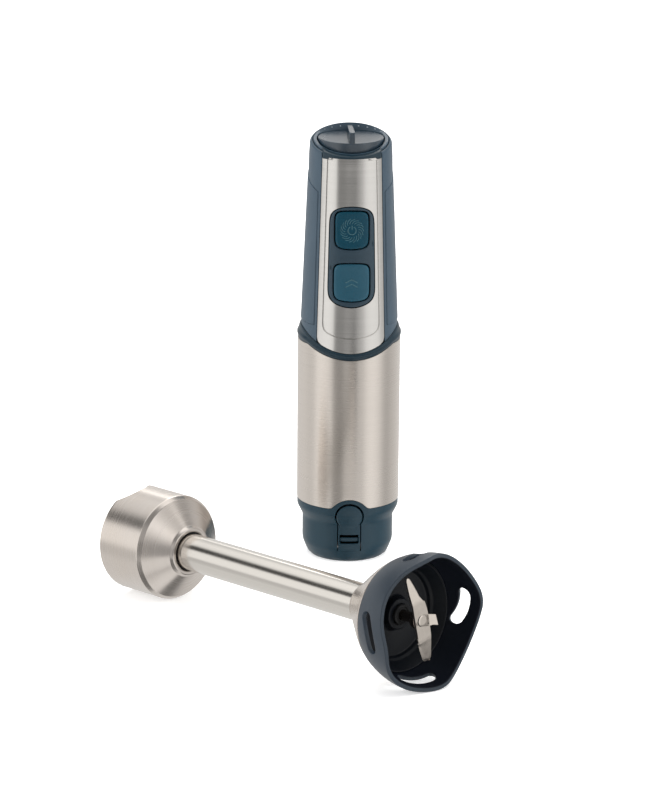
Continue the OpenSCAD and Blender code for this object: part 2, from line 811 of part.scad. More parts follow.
module drive_dog() {
    color(black) on_rod() translate([0, 0, 13]) difference() {
        union() {
            cylinder(r = 4, h = 9);
            for (a = [0:60:300]) rotate([0, 0, a]) translate([0, -0.8, 0.6]) cube([5.2, 1.6, 6]);
            translate([0, 0, 8]) cylinder(r = 6, h = 2);
        }
        translate([0, 0, 2]) cylinder(r = drive_r, h = 20);
    }
}

// Two long bent wings and a short one beside them, round a pierced hub
module blade() {
    t = 1.1;
    upper = [[-4.7, -1], [-4.5, 10], [-3.3, blade_reach - 0.6], [-2, blade_reach], [-0.3, blade_reach - 1],
             [1.9, 11.3], [2.7, 9.7], [3.5, 9.4], [4.3, 5], [4.4, -1]];
    lower = [[-4.4, -1], [-3.9, 8.4], [-2.9, blade_reach - 2], [-0.8, blade_reach - 0.6],
             [2, blade_reach - 1.4], [5, 8.6], [4.8, -1]];
    side = [[-3.1, 0], [-2.8, 8], [3.2, 10.4], [3.1, 0]];
    color(steel) on_rod() translate([0, 0, blade_station]) rotate([0, 0, blade_turn]) difference() {
        union() {
            cylinder(r = 4.7, h = t);
            rotate([wing_tilt[0], 0, 0]) linear_extrude(t) polygon(upper);
            rotate([0, 0, 180]) rotate([wing_tilt[1], 0, 0]) linear_extrude(t) polygon(lower);
            rotate([0, 0, -110.5]) rotate([wing_tilt[2], 0, 0]) linear_extrude(t) polygon(side);
        }
        translate([0, 0, -20]) cylinder(r = drive_r, h = 40);
    }
}

module blade_washer() {
    color(steel) on_rod() ring(4.6, drive_r + 0.01, blade_station - 3, blade_station - 1);
}

module shaft_circlip() {
    color(steel) on_rod() difference() {
        ring(drive_r + 1.3, drive_r + 0.01, 176, 177);
        translate([1, -1, 170]) cube([5, 2, 10]);
    }
}

base_housing();
release_latch();
motor_sleeve();
collar_ring();
handle_shell();
left_grip();
right_grip();
front_panel();
button_bezel();
dial_bezel();
dial_scale();
cord_gland();
dial_cap();
dial_spindle();
speed_potentiometer();
power_button();
power_symbol();
turbo_button();
turbo_symbol();
switch_bracket();
microswitches();
control_board();
board_screws();
upper_bracket();
lower_bracket();
upper_bearing();
lower_bearing();
stator_core();
field_coils();
brush_holders();
carbon_brushes();
brush_springs();
motor_shaft();
armature_core();
armature_windings();
commutator();
cooling_fan();
drive_socket();
base_seal();
coupling_cup();
cup_insert();
nose_ring();
shaft_tube();
upper_bush();
middle_bush();
lower_bush();
bell_housing();
blade_guard();
shaft_seal();
drive_shaft();
drive_dog();
blade();
blade_washer();
shaft_circlip();
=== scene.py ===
"""Immersion blender: a standing motor unit and its detached blending rod.

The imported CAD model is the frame. Detailed covers, controls, the rod's shells and the
blade replace their plain CAD solids; the inner parts keep theirs with better materials.
Lengths in the code are millimetres, turned into metres where a mesh is made.
"""
from math import asin, atan2, cos, pi, radians, sin, sqrt, tan

import bmesh
import bpy
import numpy as np
from mathutils import Matrix, Vector
from mathutils.geometry import delaunay_2d_cdt


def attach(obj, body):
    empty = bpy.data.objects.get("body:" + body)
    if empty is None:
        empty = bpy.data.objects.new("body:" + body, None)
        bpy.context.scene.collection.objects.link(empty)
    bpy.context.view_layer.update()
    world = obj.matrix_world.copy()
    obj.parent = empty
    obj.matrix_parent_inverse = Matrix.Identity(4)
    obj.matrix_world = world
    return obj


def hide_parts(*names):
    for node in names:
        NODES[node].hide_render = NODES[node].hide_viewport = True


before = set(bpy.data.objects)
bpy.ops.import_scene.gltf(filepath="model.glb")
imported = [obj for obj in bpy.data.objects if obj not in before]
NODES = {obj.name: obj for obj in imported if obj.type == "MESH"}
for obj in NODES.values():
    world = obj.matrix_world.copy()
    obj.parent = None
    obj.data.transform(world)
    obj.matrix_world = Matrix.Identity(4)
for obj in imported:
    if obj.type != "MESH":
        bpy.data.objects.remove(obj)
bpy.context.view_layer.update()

MM = 0.001

# ---------- measures shared with the CAD model, in millimetres ----------
SLEEVE_R, SLEEVE_WALL = 27.5, 1.0
NECK_R, BAND_R = 24.4, 27.3
SLEEVE_Z, COLLAR_Z = 31.2, 120.0
LATCH_Z, LATCH_R, LATCH_GAP, LATCH_LIFT = 26.1, 7.2, 0.7, 0.3
ARCH_Z, ARCH_R = 25.5, 11.0
TONGUE_X, TONGUE_GAP, TONGUE_ROOT_Z = 5.9, 0.6, 6.5
HANDLE_LOW, HANDLE_HIGH, HANDLE_TOP_Z = (116.0, 26.3), (214.0, 22.2), 236.0
COLLAR_TOP_Z = 128.4
PANEL_TOP_X, PANEL_LOW_X, PANEL_LOW_Z, PANEL_DIP = 15.5, 17.9, 122.0, 4.8
LIP_Z, TOP_MID_Z, TOP_SLOPE = 220.9, 228.2, tan(radians(10.2))
SLEEVE_ARC_R, SLEEVE_ARC_LOW = 44.0, 113.6
GRIP_TOP_Z, GRIP_SLOPE, GRIP_BACK_X, GRIP_SEAM = 209.0, tan(radians(24)), 7.0, 1.6
BUTTON_GAP = 0.62
POWER_X, POWER_Z = 8.6, (173.9, 193.8)
TURBO_X, TURBO_Z = 9.2, (145.8, 165.7)
DIAL_R, DIAL_Z = 17.4, 229.0
TUBE_R, ROD_LEN, GUARD_R = 9.6, 218.9, 34.6
ROD_AT, ROD_HEADING, ROD_ROLL = (-112.0, -60.5), 48.4, 10.0
ROD_TILT = asin((GUARD_R - SLEEVE_R) / (ROD_LEN - 7.5))
CUP_DEPTH, CUP_WALL, NOTCH_DEPTH, NOTCH_R = 28.5, 0.9, 5.9, 13.2
BELL_START, BELL_CONE_END = 170.3, (187.5, 24.1)
BELL_ARC_R, BELL_ARC_S, GUARD_SEAM = 47.8, 217.4, 194.3
SLOT_S = 206.3      # middle of the guard's slots along the rod
DRIVE_R, BLADE_S, BLADE_T = 2.6, 209.5, 1.1

ROD = (
    Matrix.Translation((ROD_AT[0] * MM, ROD_AT[1] * MM, SLEEVE_R * cos(ROD_TILT) * MM))
    @ Matrix.Rotation(radians(-ROD_HEADING), 4, "Z")
    @ Matrix.Rotation(radians(90) - ROD_TILT, 4, "Y")
    @ Matrix.Rotation(radians(180 + ROD_ROLL), 4, "Z")
)


def clamp(v, lo=0.0, hi=1.0):
    return max(lo, min(hi, v))


def mix(a, b, t):
    return a + (b - a) * t


def steps(n, a=0.0, b=1.0):
    return [a + (b - a) * i / n for i in range(n + 1)]


def curve_at(points, x):
    """Value at x of a polyline given as (x, value) pairs in rising order."""
    if x <= points[0][0]:
        return points[0][1]
    for (x0, y0), (x1, y1) in zip(points, points[1:]):
        if x <= x1:
            return mix(y0, y1, (x - x0) / (x1 - x0))
    return points[-1][1]


# ---------- materials ----------
class Graph:
    """Small helper that adds and links nodes of one material or world."""

    def __init__(self, tree):
        self.tree = tree
        tree.nodes.clear()

    def add(self, kind, **values):
        node = self.tree.nodes.new(kind)
        for key, value in values.items():
            setattr(node, key, value)
        return node

    def put(self, node, socket, value):
        target = node.inputs[socket]
        if isinstance(value, bpy.types.NodeSocket):
            self.tree.links.new(value, target)
        else:
            target.default_value = value

    def math(self, op, a, b=None):
        node = self.add("ShaderNodeMath", operation=op)
        for i, v in enumerate((a, b)):
            if v is not None:
                self.put(node, i, v)
        return node.outputs[0]

    def noise(self, vector, scale, detail=3.0, rough=0.55):
        node = self.add("ShaderNodeTexNoise")
        self.put(node, "Vector", vector)
        self.put(node, "Scale", scale)
        self.put(node, "Detail", detail)
        self.put(node, "Roughness", rough)
        return node.outputs["Fac"]

    def stretch(self, vector, factors):
        node = self.add("ShaderNodeMapping")
        self.put(node, "Vector", vector)
        node.inputs["Scale"].default_value = factors
        return node.outputs["Vector"]

    def span(self, value, lo, hi, to_lo=0.0, to_hi=1.0, kind="LINEAR"):
        node = self.add("ShaderNodeMapRange", interpolation_type=kind)
        names = ("Value", "From Min", "From Max", "To Min", "To Max")
        for name, v in zip(names, (value, lo, hi, to_lo, to_hi)):
            self.put(node, name, v)
        return node.outputs[0]

    def blend_colour(self, factor, a, b):
        node = self.add("ShaderNodeMix", data_type="RGBA")
        self.put(node, 0, factor)
        self.put(node, 6, a)
        self.put(node, 7, b)
        return node.outputs[2]


def srgb(r, g, b):
    """Linear colour of an 8-bit display colour."""
    def lin(v):
        v /= 255.0
        return v / 12.92 if v <= 0.04045 else ((v + 0.055) / 1.055) ** 2.4
    return (lin(r), lin(g), lin(b), 1.0)


def shade(colour, k):
    return tuple(min(1.0, c * k) for c in colour[:3]) + (1.0,)


def new_material(name):
    mat = bpy.data.materials.new(name)
    mat.use_nodes = True
    g = Graph(mat.node_tree)
    out = g.add("ShaderNodeOutputMaterial")
    bsdf = g.add("ShaderNodeBsdfPrincipled")
    g.tree.links.new(bsdf.outputs[0], out.inputs["Surface"])
    coords = g.add("ShaderNodeTexCoord").outputs["Object"]
    return mat, g, bsdf, coords


def bump(g, bsdf, height, strength, distance):
    node = g.add("ShaderNodeBump")
    g.put(node, "Height", height)
    g.put(node, "Strength", strength)
    g.put(node, "Distance", distance)
    g.put(bsdf, "Normal", node.outputs[0])


def plastic(name, colour, rough=0.42, grain=2600.0, grain_depth=0.00002, mottling=0.07, coat=0.0,
            spec=0.5):
    """Moulded plastic: a fine spark-eroded grain, and slow changes of tone and gloss."""
    mat, g, bsdf, at = new_material(name)
    slow = g.noise(at, 45.0, 4.0)
    fine = g.noise(at, grain, 2.0, 0.7)
    tone = g.span(slow, 0.3, 0.7, 0.0, 1.0)
    g.put(bsdf, "Base Color", g.blend_colour(tone, shade(colour, 1 - mottling), shade(colour, 1 + mottling)))
    g.put(bsdf, "Roughness", g.math("ADD", g.span(slow, 0.25, 0.75, rough - 0.035, rough + 0.035),
                                    g.span(fine, 0.3, 0.7, -0.03, 0.03)))
    bsdf.inputs["Specular IOR Level"].default_value = spec
    bsdf.inputs["Coat Weight"].default_value = coat
    bsdf.inputs["Coat Roughness"].default_value = 0.18
    bump(g, bsdf, fine, 0.35, grain_depth)
    return mat


def brushed(name, colour, streaks, rough=0.27, aniso=0.0, depth=0.000012, contrast=0.07, tint=None):
    """Brushed metal: fine streaks along one direction, set by how the noise is stretched."""
    mat, g, bsdf, at = new_material(name)
    lines = g.noise(g.stretch(at, streaks), 1.0, 3.0, 0.75)
    wide = g.noise(g.stretch(at, tuple(s * 0.22 for s in streaks)), 1.0, 2.0)
    smudge = g.noise(at, 38.0, 3.0)
    tone = g.math("ADD", g.math("MULTIPLY", lines, 0.65), g.math("MULTIPLY", wide, 0.35))
    low, high = shade(colour, 1 - contrast), shade(colour, 1 + contrast)
    base = g.blend_colour(g.span(tone, 0.3, 0.7, 0.0, 1.0), low, high)
    if tint:
        base = g.blend_colour(g.span(smudge, 0.35, 0.75, 0.0, 0.25), base, tint)
    g.put(bsdf, "Base Color", base)
    bsdf.inputs["Metallic"].default_value = 1.0
    g.put(bsdf, "Roughness", g.math("ADD", g.span(lines, 0.25, 0.75, rough - 0.05, rough + 0.05),
                                    g.span(smudge, 0.3, 0.7, -0.015, 0.02)))
    bsdf.inputs["Anisotropic"].default_value = aniso
    if aniso:
        tangent = g.add("ShaderNodeTangent", direction_type="RADIAL", axis="Z")
        g.put(bsdf, "Tangent", tangent.outputs[0])
        bsdf.inputs["Anisotropic Rotation"].default_value = 0.25
    bump(g, bsdf, lines, 0.25, depth)
    return mat


M = {
    "slate": plastic("slate_plastic", srgb(32, 51, 63), 0.36, spec=0.42),
    # a darker copy of the slate for the collar and the dial's front lip: painted shade
    "deep": plastic("shaded_slate_plastic", srgb(15, 37, 48), 0.36, spec=0.4),
    "base": plastic("base_plastic", srgb(22, 48, 60), 0.34, spec=0.34),
    "grip": plastic("grip_soft_plastic", srgb(50, 67, 80), 0.44, grain=1700.0, grain_depth=0.00003,
                    spec=0.42),
    "dial": plastic("dial_plastic", srgb(28, 44, 56), 0.25, grain=3200.0, spec=0.9),
    "power": plastic("power_teal", srgb(0, 52, 68), 0.28, grain=3000.0, grain_depth=0.000008, spec=0.25),
    "turbo": plastic("turbo_teal", srgb(24, 69, 86), 0.3, grain=3000.0, grain_depth=0.000008, spec=0.35),
    "guard": plastic("guard_plastic", srgb(35, 45, 55), 0.42, grain=2200.0, spec=0.42),
    # the guard's inside wall and floor are darker copies of the guard plastic: painted shade inside the guard
    "guard_inside_shaded": plastic("guard_inside_shaded_plastic", srgb(11, 16, 26), 0.48, grain=2000.0, spec=0.3),
    "guard_floor": plastic("guard_floor_shaded_plastic", srgb(9, 14, 21), 0.42, grain=2000.0, spec=0.35),
    "black": plastic("black_plastic", srgb(17, 19, 22), 0.38),
    "rubber": plastic("black_rubber", srgb(20, 21, 23), 0.6, grain=1500.0, grain_depth=0.00004),
    "print": plastic("pale_print", srgb(46, 86, 96), 0.45, mottling=0.05),
    "scale": plastic("scale_print", srgb(176, 184, 190), 0.5, mottling=0.03),
    "red": plastic("switch_red", srgb(150, 44, 38), 0.4),
    "board": plastic("board_green", srgb(28, 96, 60), 0.35, coat=0.3),
    "copper": brushed("copper_wire", srgb(196, 118, 66), (900.0, 900.0, 120.0), 0.35, contrast=0.2),
    "bronze": brushed("bearing_bronze", srgb(186, 148, 88), (500.0, 500.0, 1800.0), 0.33, contrast=0.12),
    "iron": brushed("core_iron", srgb(120, 120, 124), (60.0, 60.0, 2600.0), 0.45, contrast=0.25),
    "carbon": plastic("carbon", srgb(38, 38, 40), 0.6, mottling=0.2),
    "sleeve": brushed("sleeve_steel", srgb(214, 207, 200), (5.0, 5.0, 1500.0), 0.29, aniso=0.6,
                      contrast=0.03, depth=0.0000015),
    "panel": brushed("panel_steel", srgb(208, 206, 203), (5.0, 5.0, 1600.0), 0.18, aniso=0.6, contrast=0.05,
                     depth=0.0000015),
    "cup": brushed("cup_steel", srgb(212, 205, 199), (6.0, 6.0, 1700.0), 0.25, aniso=0.5, contrast=0.04,
                   depth=0.0000015, tint=srgb(206, 192, 176)),
    "tube": brushed("tube_steel", srgb(214, 210, 204), (1500.0, 1500.0, 6.0), 0.16, contrast=0.03,
                    depth=0.0000015),
    "blade": brushed("blade_steel", srgb(214, 206, 197), (700.0, 700.0, 700.0), 0.33, contrast=0.08,
                     depth=0.00002),
    "shaft": brushed("shaft_steel", srgb(196, 196, 198), (60.0, 60.0, 3000.0), 0.25),
    # darker and browner than shaft_steel: painted shade inside the guard
    "dark_shaft": brushed("shade_darkened_shaft_steel", srgb(150, 138, 130), (60.0, 60.0, 2500.0), 0.2, contrast=0.12),
}


# ---------- mesh building ----------
def make(name, verts, faces, body, slot, mat, nodes=(), at_rod=False, centre=None, thick=0.0, bevel=0.0,
         bevel_steps=2, bevel_angle=35.0, inner=None):
    """One piece from vertices in millimetres. centre(v) gives a point inside, for an open skin."""
    mesh = bpy.data.meshes.new(name)
    mesh.from_pydata([(v[0] * MM, v[1] * MM, v[2] * MM) for v in verts], [], faces)
    bm = bmesh.new()
    bm.from_mesh(mesh)
    bmesh.ops.remove_doubles(bm, verts=bm.verts, dist=2e-6)
    bmesh.ops.dissolve_degenerate(bm, dist=1e-7, edges=bm.edges)
    bmesh.ops.recalc_face_normals(bm, faces=bm.faces)
    if centre is not None:
        total = sum((f.normal.dot(f.calc_center_median() - Vector(centre(f.calc_center_median() / MM)) * MM)
                     * f.calc_area()) for f in bm.faces)
        if total < 0:
            bmesh.ops.reverse_faces(bm, faces=bm.faces)
    bm.to_mesh(mesh)
    bm.free()
    mesh.polygons.foreach_set("use_smooth", [True] * len(mesh.polygons))
    obj = bpy.data.objects.new(name, mesh)
    bpy.context.scene.collection.objects.link(obj)
    mesh.materials.append(M[mat])
    if at_rod:
        obj.matrix_world = ROD
    if thick:
        mod = obj.modifiers.new("thickness", "SOLIDIFY")
        mod.thickness = thick * MM
        mod.offset = -1.0
        mod.use_even_offset = True
        if inner:
            mesh.materials.append(M[inner])
            mod.material_offset = 1
    if bevel:
        mod = obj.modifiers.new("edges", "BEVEL")
        mod.width = bevel * MM
        mod.segments = bevel_steps
        mod.limit_method = "ANGLE"
        mod.angle_limit = radians(bevel_angle)
    mod = obj.modifiers.new("normals", "WEIGHTED_NORMAL")
    mod.keep_sharp = True
    bpy.context.view_layer.update()
    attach(obj, body)
    if nodes:
        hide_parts(*nodes)


def loft(rings, closed=True, loop=False, cap_start=False, cap_end=False):
    """Faces between rings of points; loop joins the last ring to the first."""
    n = len(rings[0])
    verts = [p for ring in rings for p in ring]
    faces = []
    rows = len(rings) if loop else len(rings) - 1
    for j in range(rows):
        a, b = j * n, ((j + 1) % len(rings)) * n
        for i in range(n if closed else n - 1):
            k = (i + 1) % n
            faces.append((a + i, a + k, b + k, b + i))
    if cap_start:
        faces.append(tuple(range(n)))
    if cap_end:
        last = (len(rings) - 1) * n
        faces.append(tuple(last + i for i in range(n)))
    return verts, faces


def joined(*parts):
    verts, faces = [], []
    for v, f in parts:
        base = len(verts)
        verts += list(v)
        faces += [tuple(i + base for i in face) for face in f]
    return verts, faces


def fillet(points, radii, n=4, closed=True):
    """A 2-D outline with its corners rounded; radii is one number or a list."""
    if not isinstance(radii, (list, tuple)):
        radii = [radii] * len(points)
    out = []
    count = len(points)
    for i, (p, r) in enumerate(zip(points, radii)):
        if r <= 0 or (not closed and i in (0, count - 1)):
            out.append(tuple(p))
            continue
        p = Vector(p)
        a = Vector(points[i - 1]) - p
        b = Vector(points[(i + 1) % count]) - p
        la, lb = a.length, b.length
        a.normalize()
        b.normalize()
        angle = a.angle(b)
        if angle > pi - 0.03:
            out.append(tuple(p))
            continue
        t = min(r / tan(angle / 2), la * 0.48, lb * 0.48)
        rr = t * tan(angle / 2)
        c = p + (a + b).normalized() * (rr / sin(angle / 2))
        s, e = p + a * t - c, p + b * t - c
        a0 = atan2(s.y, s.x)
        turn = (atan2(e.y, e.x) - a0 + pi) % (2 * pi) - pi
        out += [(c.x + rr * cos(a0 + turn * k / n), c.y + rr * sin(a0 + turn * k / n))
                for k in range(n + 1)]
    return out


def on_axis(p):
    return 0, 0, p.z


def capped_bar(rings):
    """Closed rings skinned along a row, with both ends capped."""
    return loft(rings, True, False, True, True)


def circle(r, z, angles):
    """Ring of radius r about Z; z is a height, or a height for each angle."""
    return [(r * cos(a), r * sin(a), z(a) if callable(z) else z) for a in angles]


def lathe(profile, segs=128, loop=True):
    """Profile of (radius, z) turned about Z."""
    angles = [2 * pi * i / segs for i in range(segs)]
    return loft([circle(r, z, angles) for r, z in profile], True, loop)


def finer(points, cell):
    """A polyline with its long spans cut into pieces of about one cell."""
    out = []
    for (r0, s0), (r1, s1) in zip(points, points[1:]):
        n = max(1, int(abs(s1 - s0) / cell))
        out += [(mix(r0, r1, k / n), mix(s0, s1, k / n)) for k in range(n)]
    return out + [points[-1]]


def moved(matrix, mesh):
    return [tuple(matrix @ Vector(p)) for p in mesh[0]], mesh[1]


def spin(share):
    """Turn about Z by a share of a full circle."""
    return Matrix.Rotation(2 * pi * share, 4, "Z")


def box_mesh(lo, hi, turn):
    corners = [(x, y, z) for z in (lo[2], hi[2]) for y in (lo[1], hi[1]) for x in (lo[0], hi[0])]
    faces = [(0, 2, 3, 1), (4, 5, 7, 6), (0, 1, 5, 4), (2, 6, 7, 3), (0, 4, 6, 2), (1, 3, 7, 5)]
    return moved(turn, (corners, faces))


def resample(points, n):
    """n points evenly spaced along a closed outline."""
    p = np.array(list(points) + [points[0]], float)
    d = np.r_[0, np.cumsum(np.hypot(*np.diff(p, axis=0).T))]
    t = np.linspace(0, d[-1], n, endpoint=False)
    return np.c_[np.interp(t, d, p[:, 0]), np.interp(t, d, p[:, 1])]


def soften(p, times, keep=None):
    """Rounds an outline's corners by averaging; keep marks points that stay."""
    p = np.array(p, float)
    for _ in range(times):
        q = (np.roll(p, 1, 0) + np.roll(p, -1, 0)) / 2
        p = q if keep is None else np.where(keep[:, None], p, q)
    return p


def inside(loop, pts):
    """Which points lie inside a closed outline."""
    x, y = pts[:, 0], pts[:, 1]
    hit = np.zeros(len(pts), bool)
    a = np.array(loop, float)
    b = np.roll(a, -1, 0)
    for (x0, y0), (x1, y1) in zip(a, b):
        if y0 == y1:
            continue
        cross = ((y0 > y) != (y1 > y)) & (x < (x1 - x0) * (y - y0) / (y1 - y0) + x0)
        hit ^= cross
    return hit


def sheet_mesh(loops, step, place):
    """Triangles that fill the first loop but not the others, laid on a surface by place(u, v)."""
    verts, edges = [], []
    for loop in loops:
        base = len(verts)
        verts += [tuple(map(float, p)) for p in loop]
        edges += [(base + i, base + (i + 1) % len(loop)) for i in range(len(loop))]
    outline = np.array(verts)
    lo, hi = outline.min(0), outline.max(0)
    grid = []
    row = 0
    v = lo[1] + step * 0.5
    while v < hi[1]:
        u = lo[0] + step * (0.5 if row % 2 else 1.0)
        while u < hi[0]:
            grid.append((u, v))
            u += step
        v += step * 0.87
        row += 1

    def kept(pts):
        ok = inside(loops[0], pts)
        for hole in loops[1:]:
            ok &= ~inside(hole, pts)
        return ok
    grid = np.array(grid)
    grid = grid[kept(grid)]
    near = np.array([np.min(np.hypot(*(outline - p).T)) for p in grid])
    grid = grid[near > step * 0.55]
    verts += [tuple(map(float, p)) for p in grid]
    out_v, _, out_f, _, _, _ = delaunay_2d_cdt([Vector(v) for v in verts], edges, [], 0, 1e-6)
    mid = np.array([np.mean([[out_v[i].x, out_v[i].y] for i in f], axis=0) for f in out_f])
    faces = [tuple(f) for f, ok in zip(out_f, kept(mid)) if ok]
    return [place(v.x, v.y) for v in out_v], faces


# ---------- surfaces of the motor unit ----------
def handle_r(z):
    (z0, r0), (z1, r1) = HANDLE_LOW, HANDLE_HIGH
    if z <= z1:
        return r0 - (r0 - r1) * (z - z0) / (z1 - z0)
    return r1 - 1.6 * ((z - z1) / (HANDLE_TOP_Z - z1)) ** 2


def on_handle(x, z, rise=0.0):
    """Point of the handle's front half, at height z and x across."""
    r = handle_r(z) + rise
    return (x, -sqrt(max(r * r - x * x, 0.01)), z)


def front_point(r, x, z):
    """Point x across on the front half of a round body of radius r."""
    return (x, -sqrt(r * r - x * x), z)


def polar(r, phi, z):
    """phi is 0 at the front (-Y) and grows toward +X."""
    return (r * sin(phi), -r * cos(phi), z)


def panel_x(z):
    return curve_at([(PANEL_LOW_Z, PANEL_LOW_X), (LIP_Z + 0.4, PANEL_TOP_X)], z)


def front(phi):
    return cos(phi) > 0


def sleeve_top(phi):
    x = SLEEVE_R * sin(phi)
    return min(COLLAR_Z, SLEEVE_ARC_LOW + SLEEVE_ARC_R - sqrt(SLEEVE_ARC_R ** 2 - x * x)) if front(phi) \
        else COLLAR_Z


COLLAR_ARC_R = (PANEL_LOW_X ** 2 + PANEL_DIP ** 2) / (2 * PANEL_DIP)


def collar_top(phi):
    x = 26.0 * sin(phi)
    if not front(phi):
        return COLLAR_TOP_Z
    return min(COLLAR_TOP_Z, PANEL_LOW_Z - PANEL_DIP + COLLAR_ARC_R - sqrt(COLLAR_ARC_R ** 2 - x * x))


def arch_top(x, grow=0.0):
    """Height of the arch over the release button, blended into the sleeve's straight edge."""
    r = ARCH_R + grow
    arch = ARCH_Z + sqrt(r * r - x * x) if abs(x) < r else 0.0
    flat, soft = SLEEVE_Z, 1.3
    return (arch + flat + sqrt((arch - flat) ** 2 + soft ** 2)) / 2 - 0.1


ROUND = [2 * pi * i / 224 for i in range(224)]


def build_sleeve():
    def low(phi):
        return arch_top(SLEEVE_R * sin(phi)) if front(phi) else SLEEVE_Z
    rings = []
    for t in steps(30):
        rings.append([polar(SLEEVE_R, a, mix(low(a), sleeve_top(a), t)) for a in ROUND])
    v, f = loft(rings)
    make("sleeve_shell", v, f, "motor_unit", "brushed_steel", "sleeve", ["motor_sleeve"],
         centre=on_axis, thick=SLEEVE_WALL, bevel=0.22)


def build_collar():
    bulge = [(0, 27.3), (0.1, 27.45), (0.3, 27.8), (0.37, 27.9), (0.46, 27.8), (0.56, 27.35), (0.66, 27.0),
             (0.82, 26.72), (0.93, 26.42)]
    rings = []
    for t in steps(28):
        ring = []
        for a in ROUND:
            lo, hi = sleeve_top(a) + 0.12, collar_top(a) - 0.15
            end = handle_r(hi) + 0.12
            r = curve_at(bulge + [(1.0, end)], t)
            ring.append(polar(r, a, mix(lo, hi, t)))
        rings.append(ring)
    v, f = loft(rings)
    # the collar takes the darker slate: painted shade
    make("collar_cover", v, f, "motor_unit", "slate_plastic", "deep", ["collar_ring"],
         centre=on_axis, thick=1.7, bevel=0.3)


# ---------- base and release latch ----------
UNROLL_R = 25.0     # the base's wall is laid out flat as angle times this
BASE_PROFILE = [(0.0, 20.3), (0.25, 20.85), (0.8, 21.4), (3.6, 22.72), (6.6, 23.93), (7.4, 24.18),
                (8.4, 24.33), (9.6, 24.4), (21.0, 24.4), (21.7, 24.52), (22.3, 24.75), (26.7, 26.95),
                (27.3, 27.2), (27.9, 27.3), (60.0, 27.3)]


def base_r(z):
    return curve_at(BASE_PROFILE, z)


def base_place(u, z):
    return polar(base_r(z), u / UNROLL_R, z)


def build_base():
    seam = pi * UNROLL_R
    heights = sorted(set([0, 0.25, 0.8, 2, 3.6, 5, 6.6, 7.4, 8.4, 9.6, 11, 13, 15, 17, 19, 21, 21.7, 22.3,
                          23.5, 25, 26.7, 27.3, 27.9, 29, 30, 31.1]))
    bottom = [(-seam + 2 * seam * t, 0.0) for t in steps(150)]
    side_r = [(seam, z) for z in heights[1:-1]]
    top = []
    for t in steps(260):
        u = seam - 2 * seam * t
        a = u / UNROLL_R
        z = arch_top(BAND_R * sin(a)) - 0.12 if front(a) else SLEEVE_Z - 0.1
        top.append((u, z))
    side_l = [(-seam, z) for z in reversed(heights[1:-1])]
    outer = bottom + side_r + top + side_l
    # opening: a round hole over the tongue's slot
    hole_r, hole_z = LATCH_R + LATCH_GAP, LATCH_Z + LATCH_LIFT
    half = TONGUE_X + TONGUE_GAP
    meet = asin(half / hole_r)
    pts = [(-half, z) for z in steps(12, TONGUE_ROOT_Z, hole_z - hole_r * cos(meet))]
    pts += [(-hole_r * sin(b), hole_z - hole_r * cos(b)) for b in steps(44, meet, 2 * pi - meet)[1:-1]]
    pts += [(half, z) for z in steps(12, hole_z - hole_r * cos(meet), TONGUE_ROOT_Z)]
    pts += [(x, TONGUE_ROOT_Z) for x in steps(8, half, -half)[1:-1]]
    hole = [(UNROLL_R * asin(x / base_r(z)), z) for x, z in pts]
    skin = sheet_mesh([outer, hole], 1.15, base_place)
    make("base_shell", *skin, "motor_unit", "slate_plastic", "base", ["base_housing"],
         centre=on_axis, thick=2.2, bevel=0.22)
    floor = lathe(fillet([(11.0, 0.02), (20.3, 0.02), (21.2, 1.0), (21.6, 3.2), (11.0, 3.2)],
                         [0.4, 0.2, 0.2, 0.2, 0.5], 4), 128)
    ribs = [box_mesh((-0.5, 12.5, 3.0), (0.5, 20.8, 7.5), spin((k + 0.5) / 12)) for k in range(12)]
    pad = lathe(fillet([(0, 0.0), (1.7, 0.0), (1.7, 0.5), (0, 0.5)], [0, 0.2, 0.1, 0], 3), 24, False)
    foot_pads = [moved(Matrix.Rotation(2 * pi * k / 3 + 0.5, 4, "Z") @ Matrix.Translation((0, 16.2, 0)),
                       pad) for k in range(3)]
    make("base_floor", *joined(floor, *ribs), "motor_unit", "slate_plastic", "base")
    make("foot_pads", *joined(*foot_pads), "motor_unit", "black_rubber", "rubber")


def latch_face_r(z):
    """The round button continues the band above and the neck below, with a soft break."""
    return curve_at([(0, NECK_R), (20.5, NECK_R + 0.1), (22.0, NECK_R + 0.35), (24.5, NECK_R + 1.3),
                     (27.0, BAND_R - 0.35), (29.5, BAND_R - 0.05), (40, BAND_R + 0.1)], z)


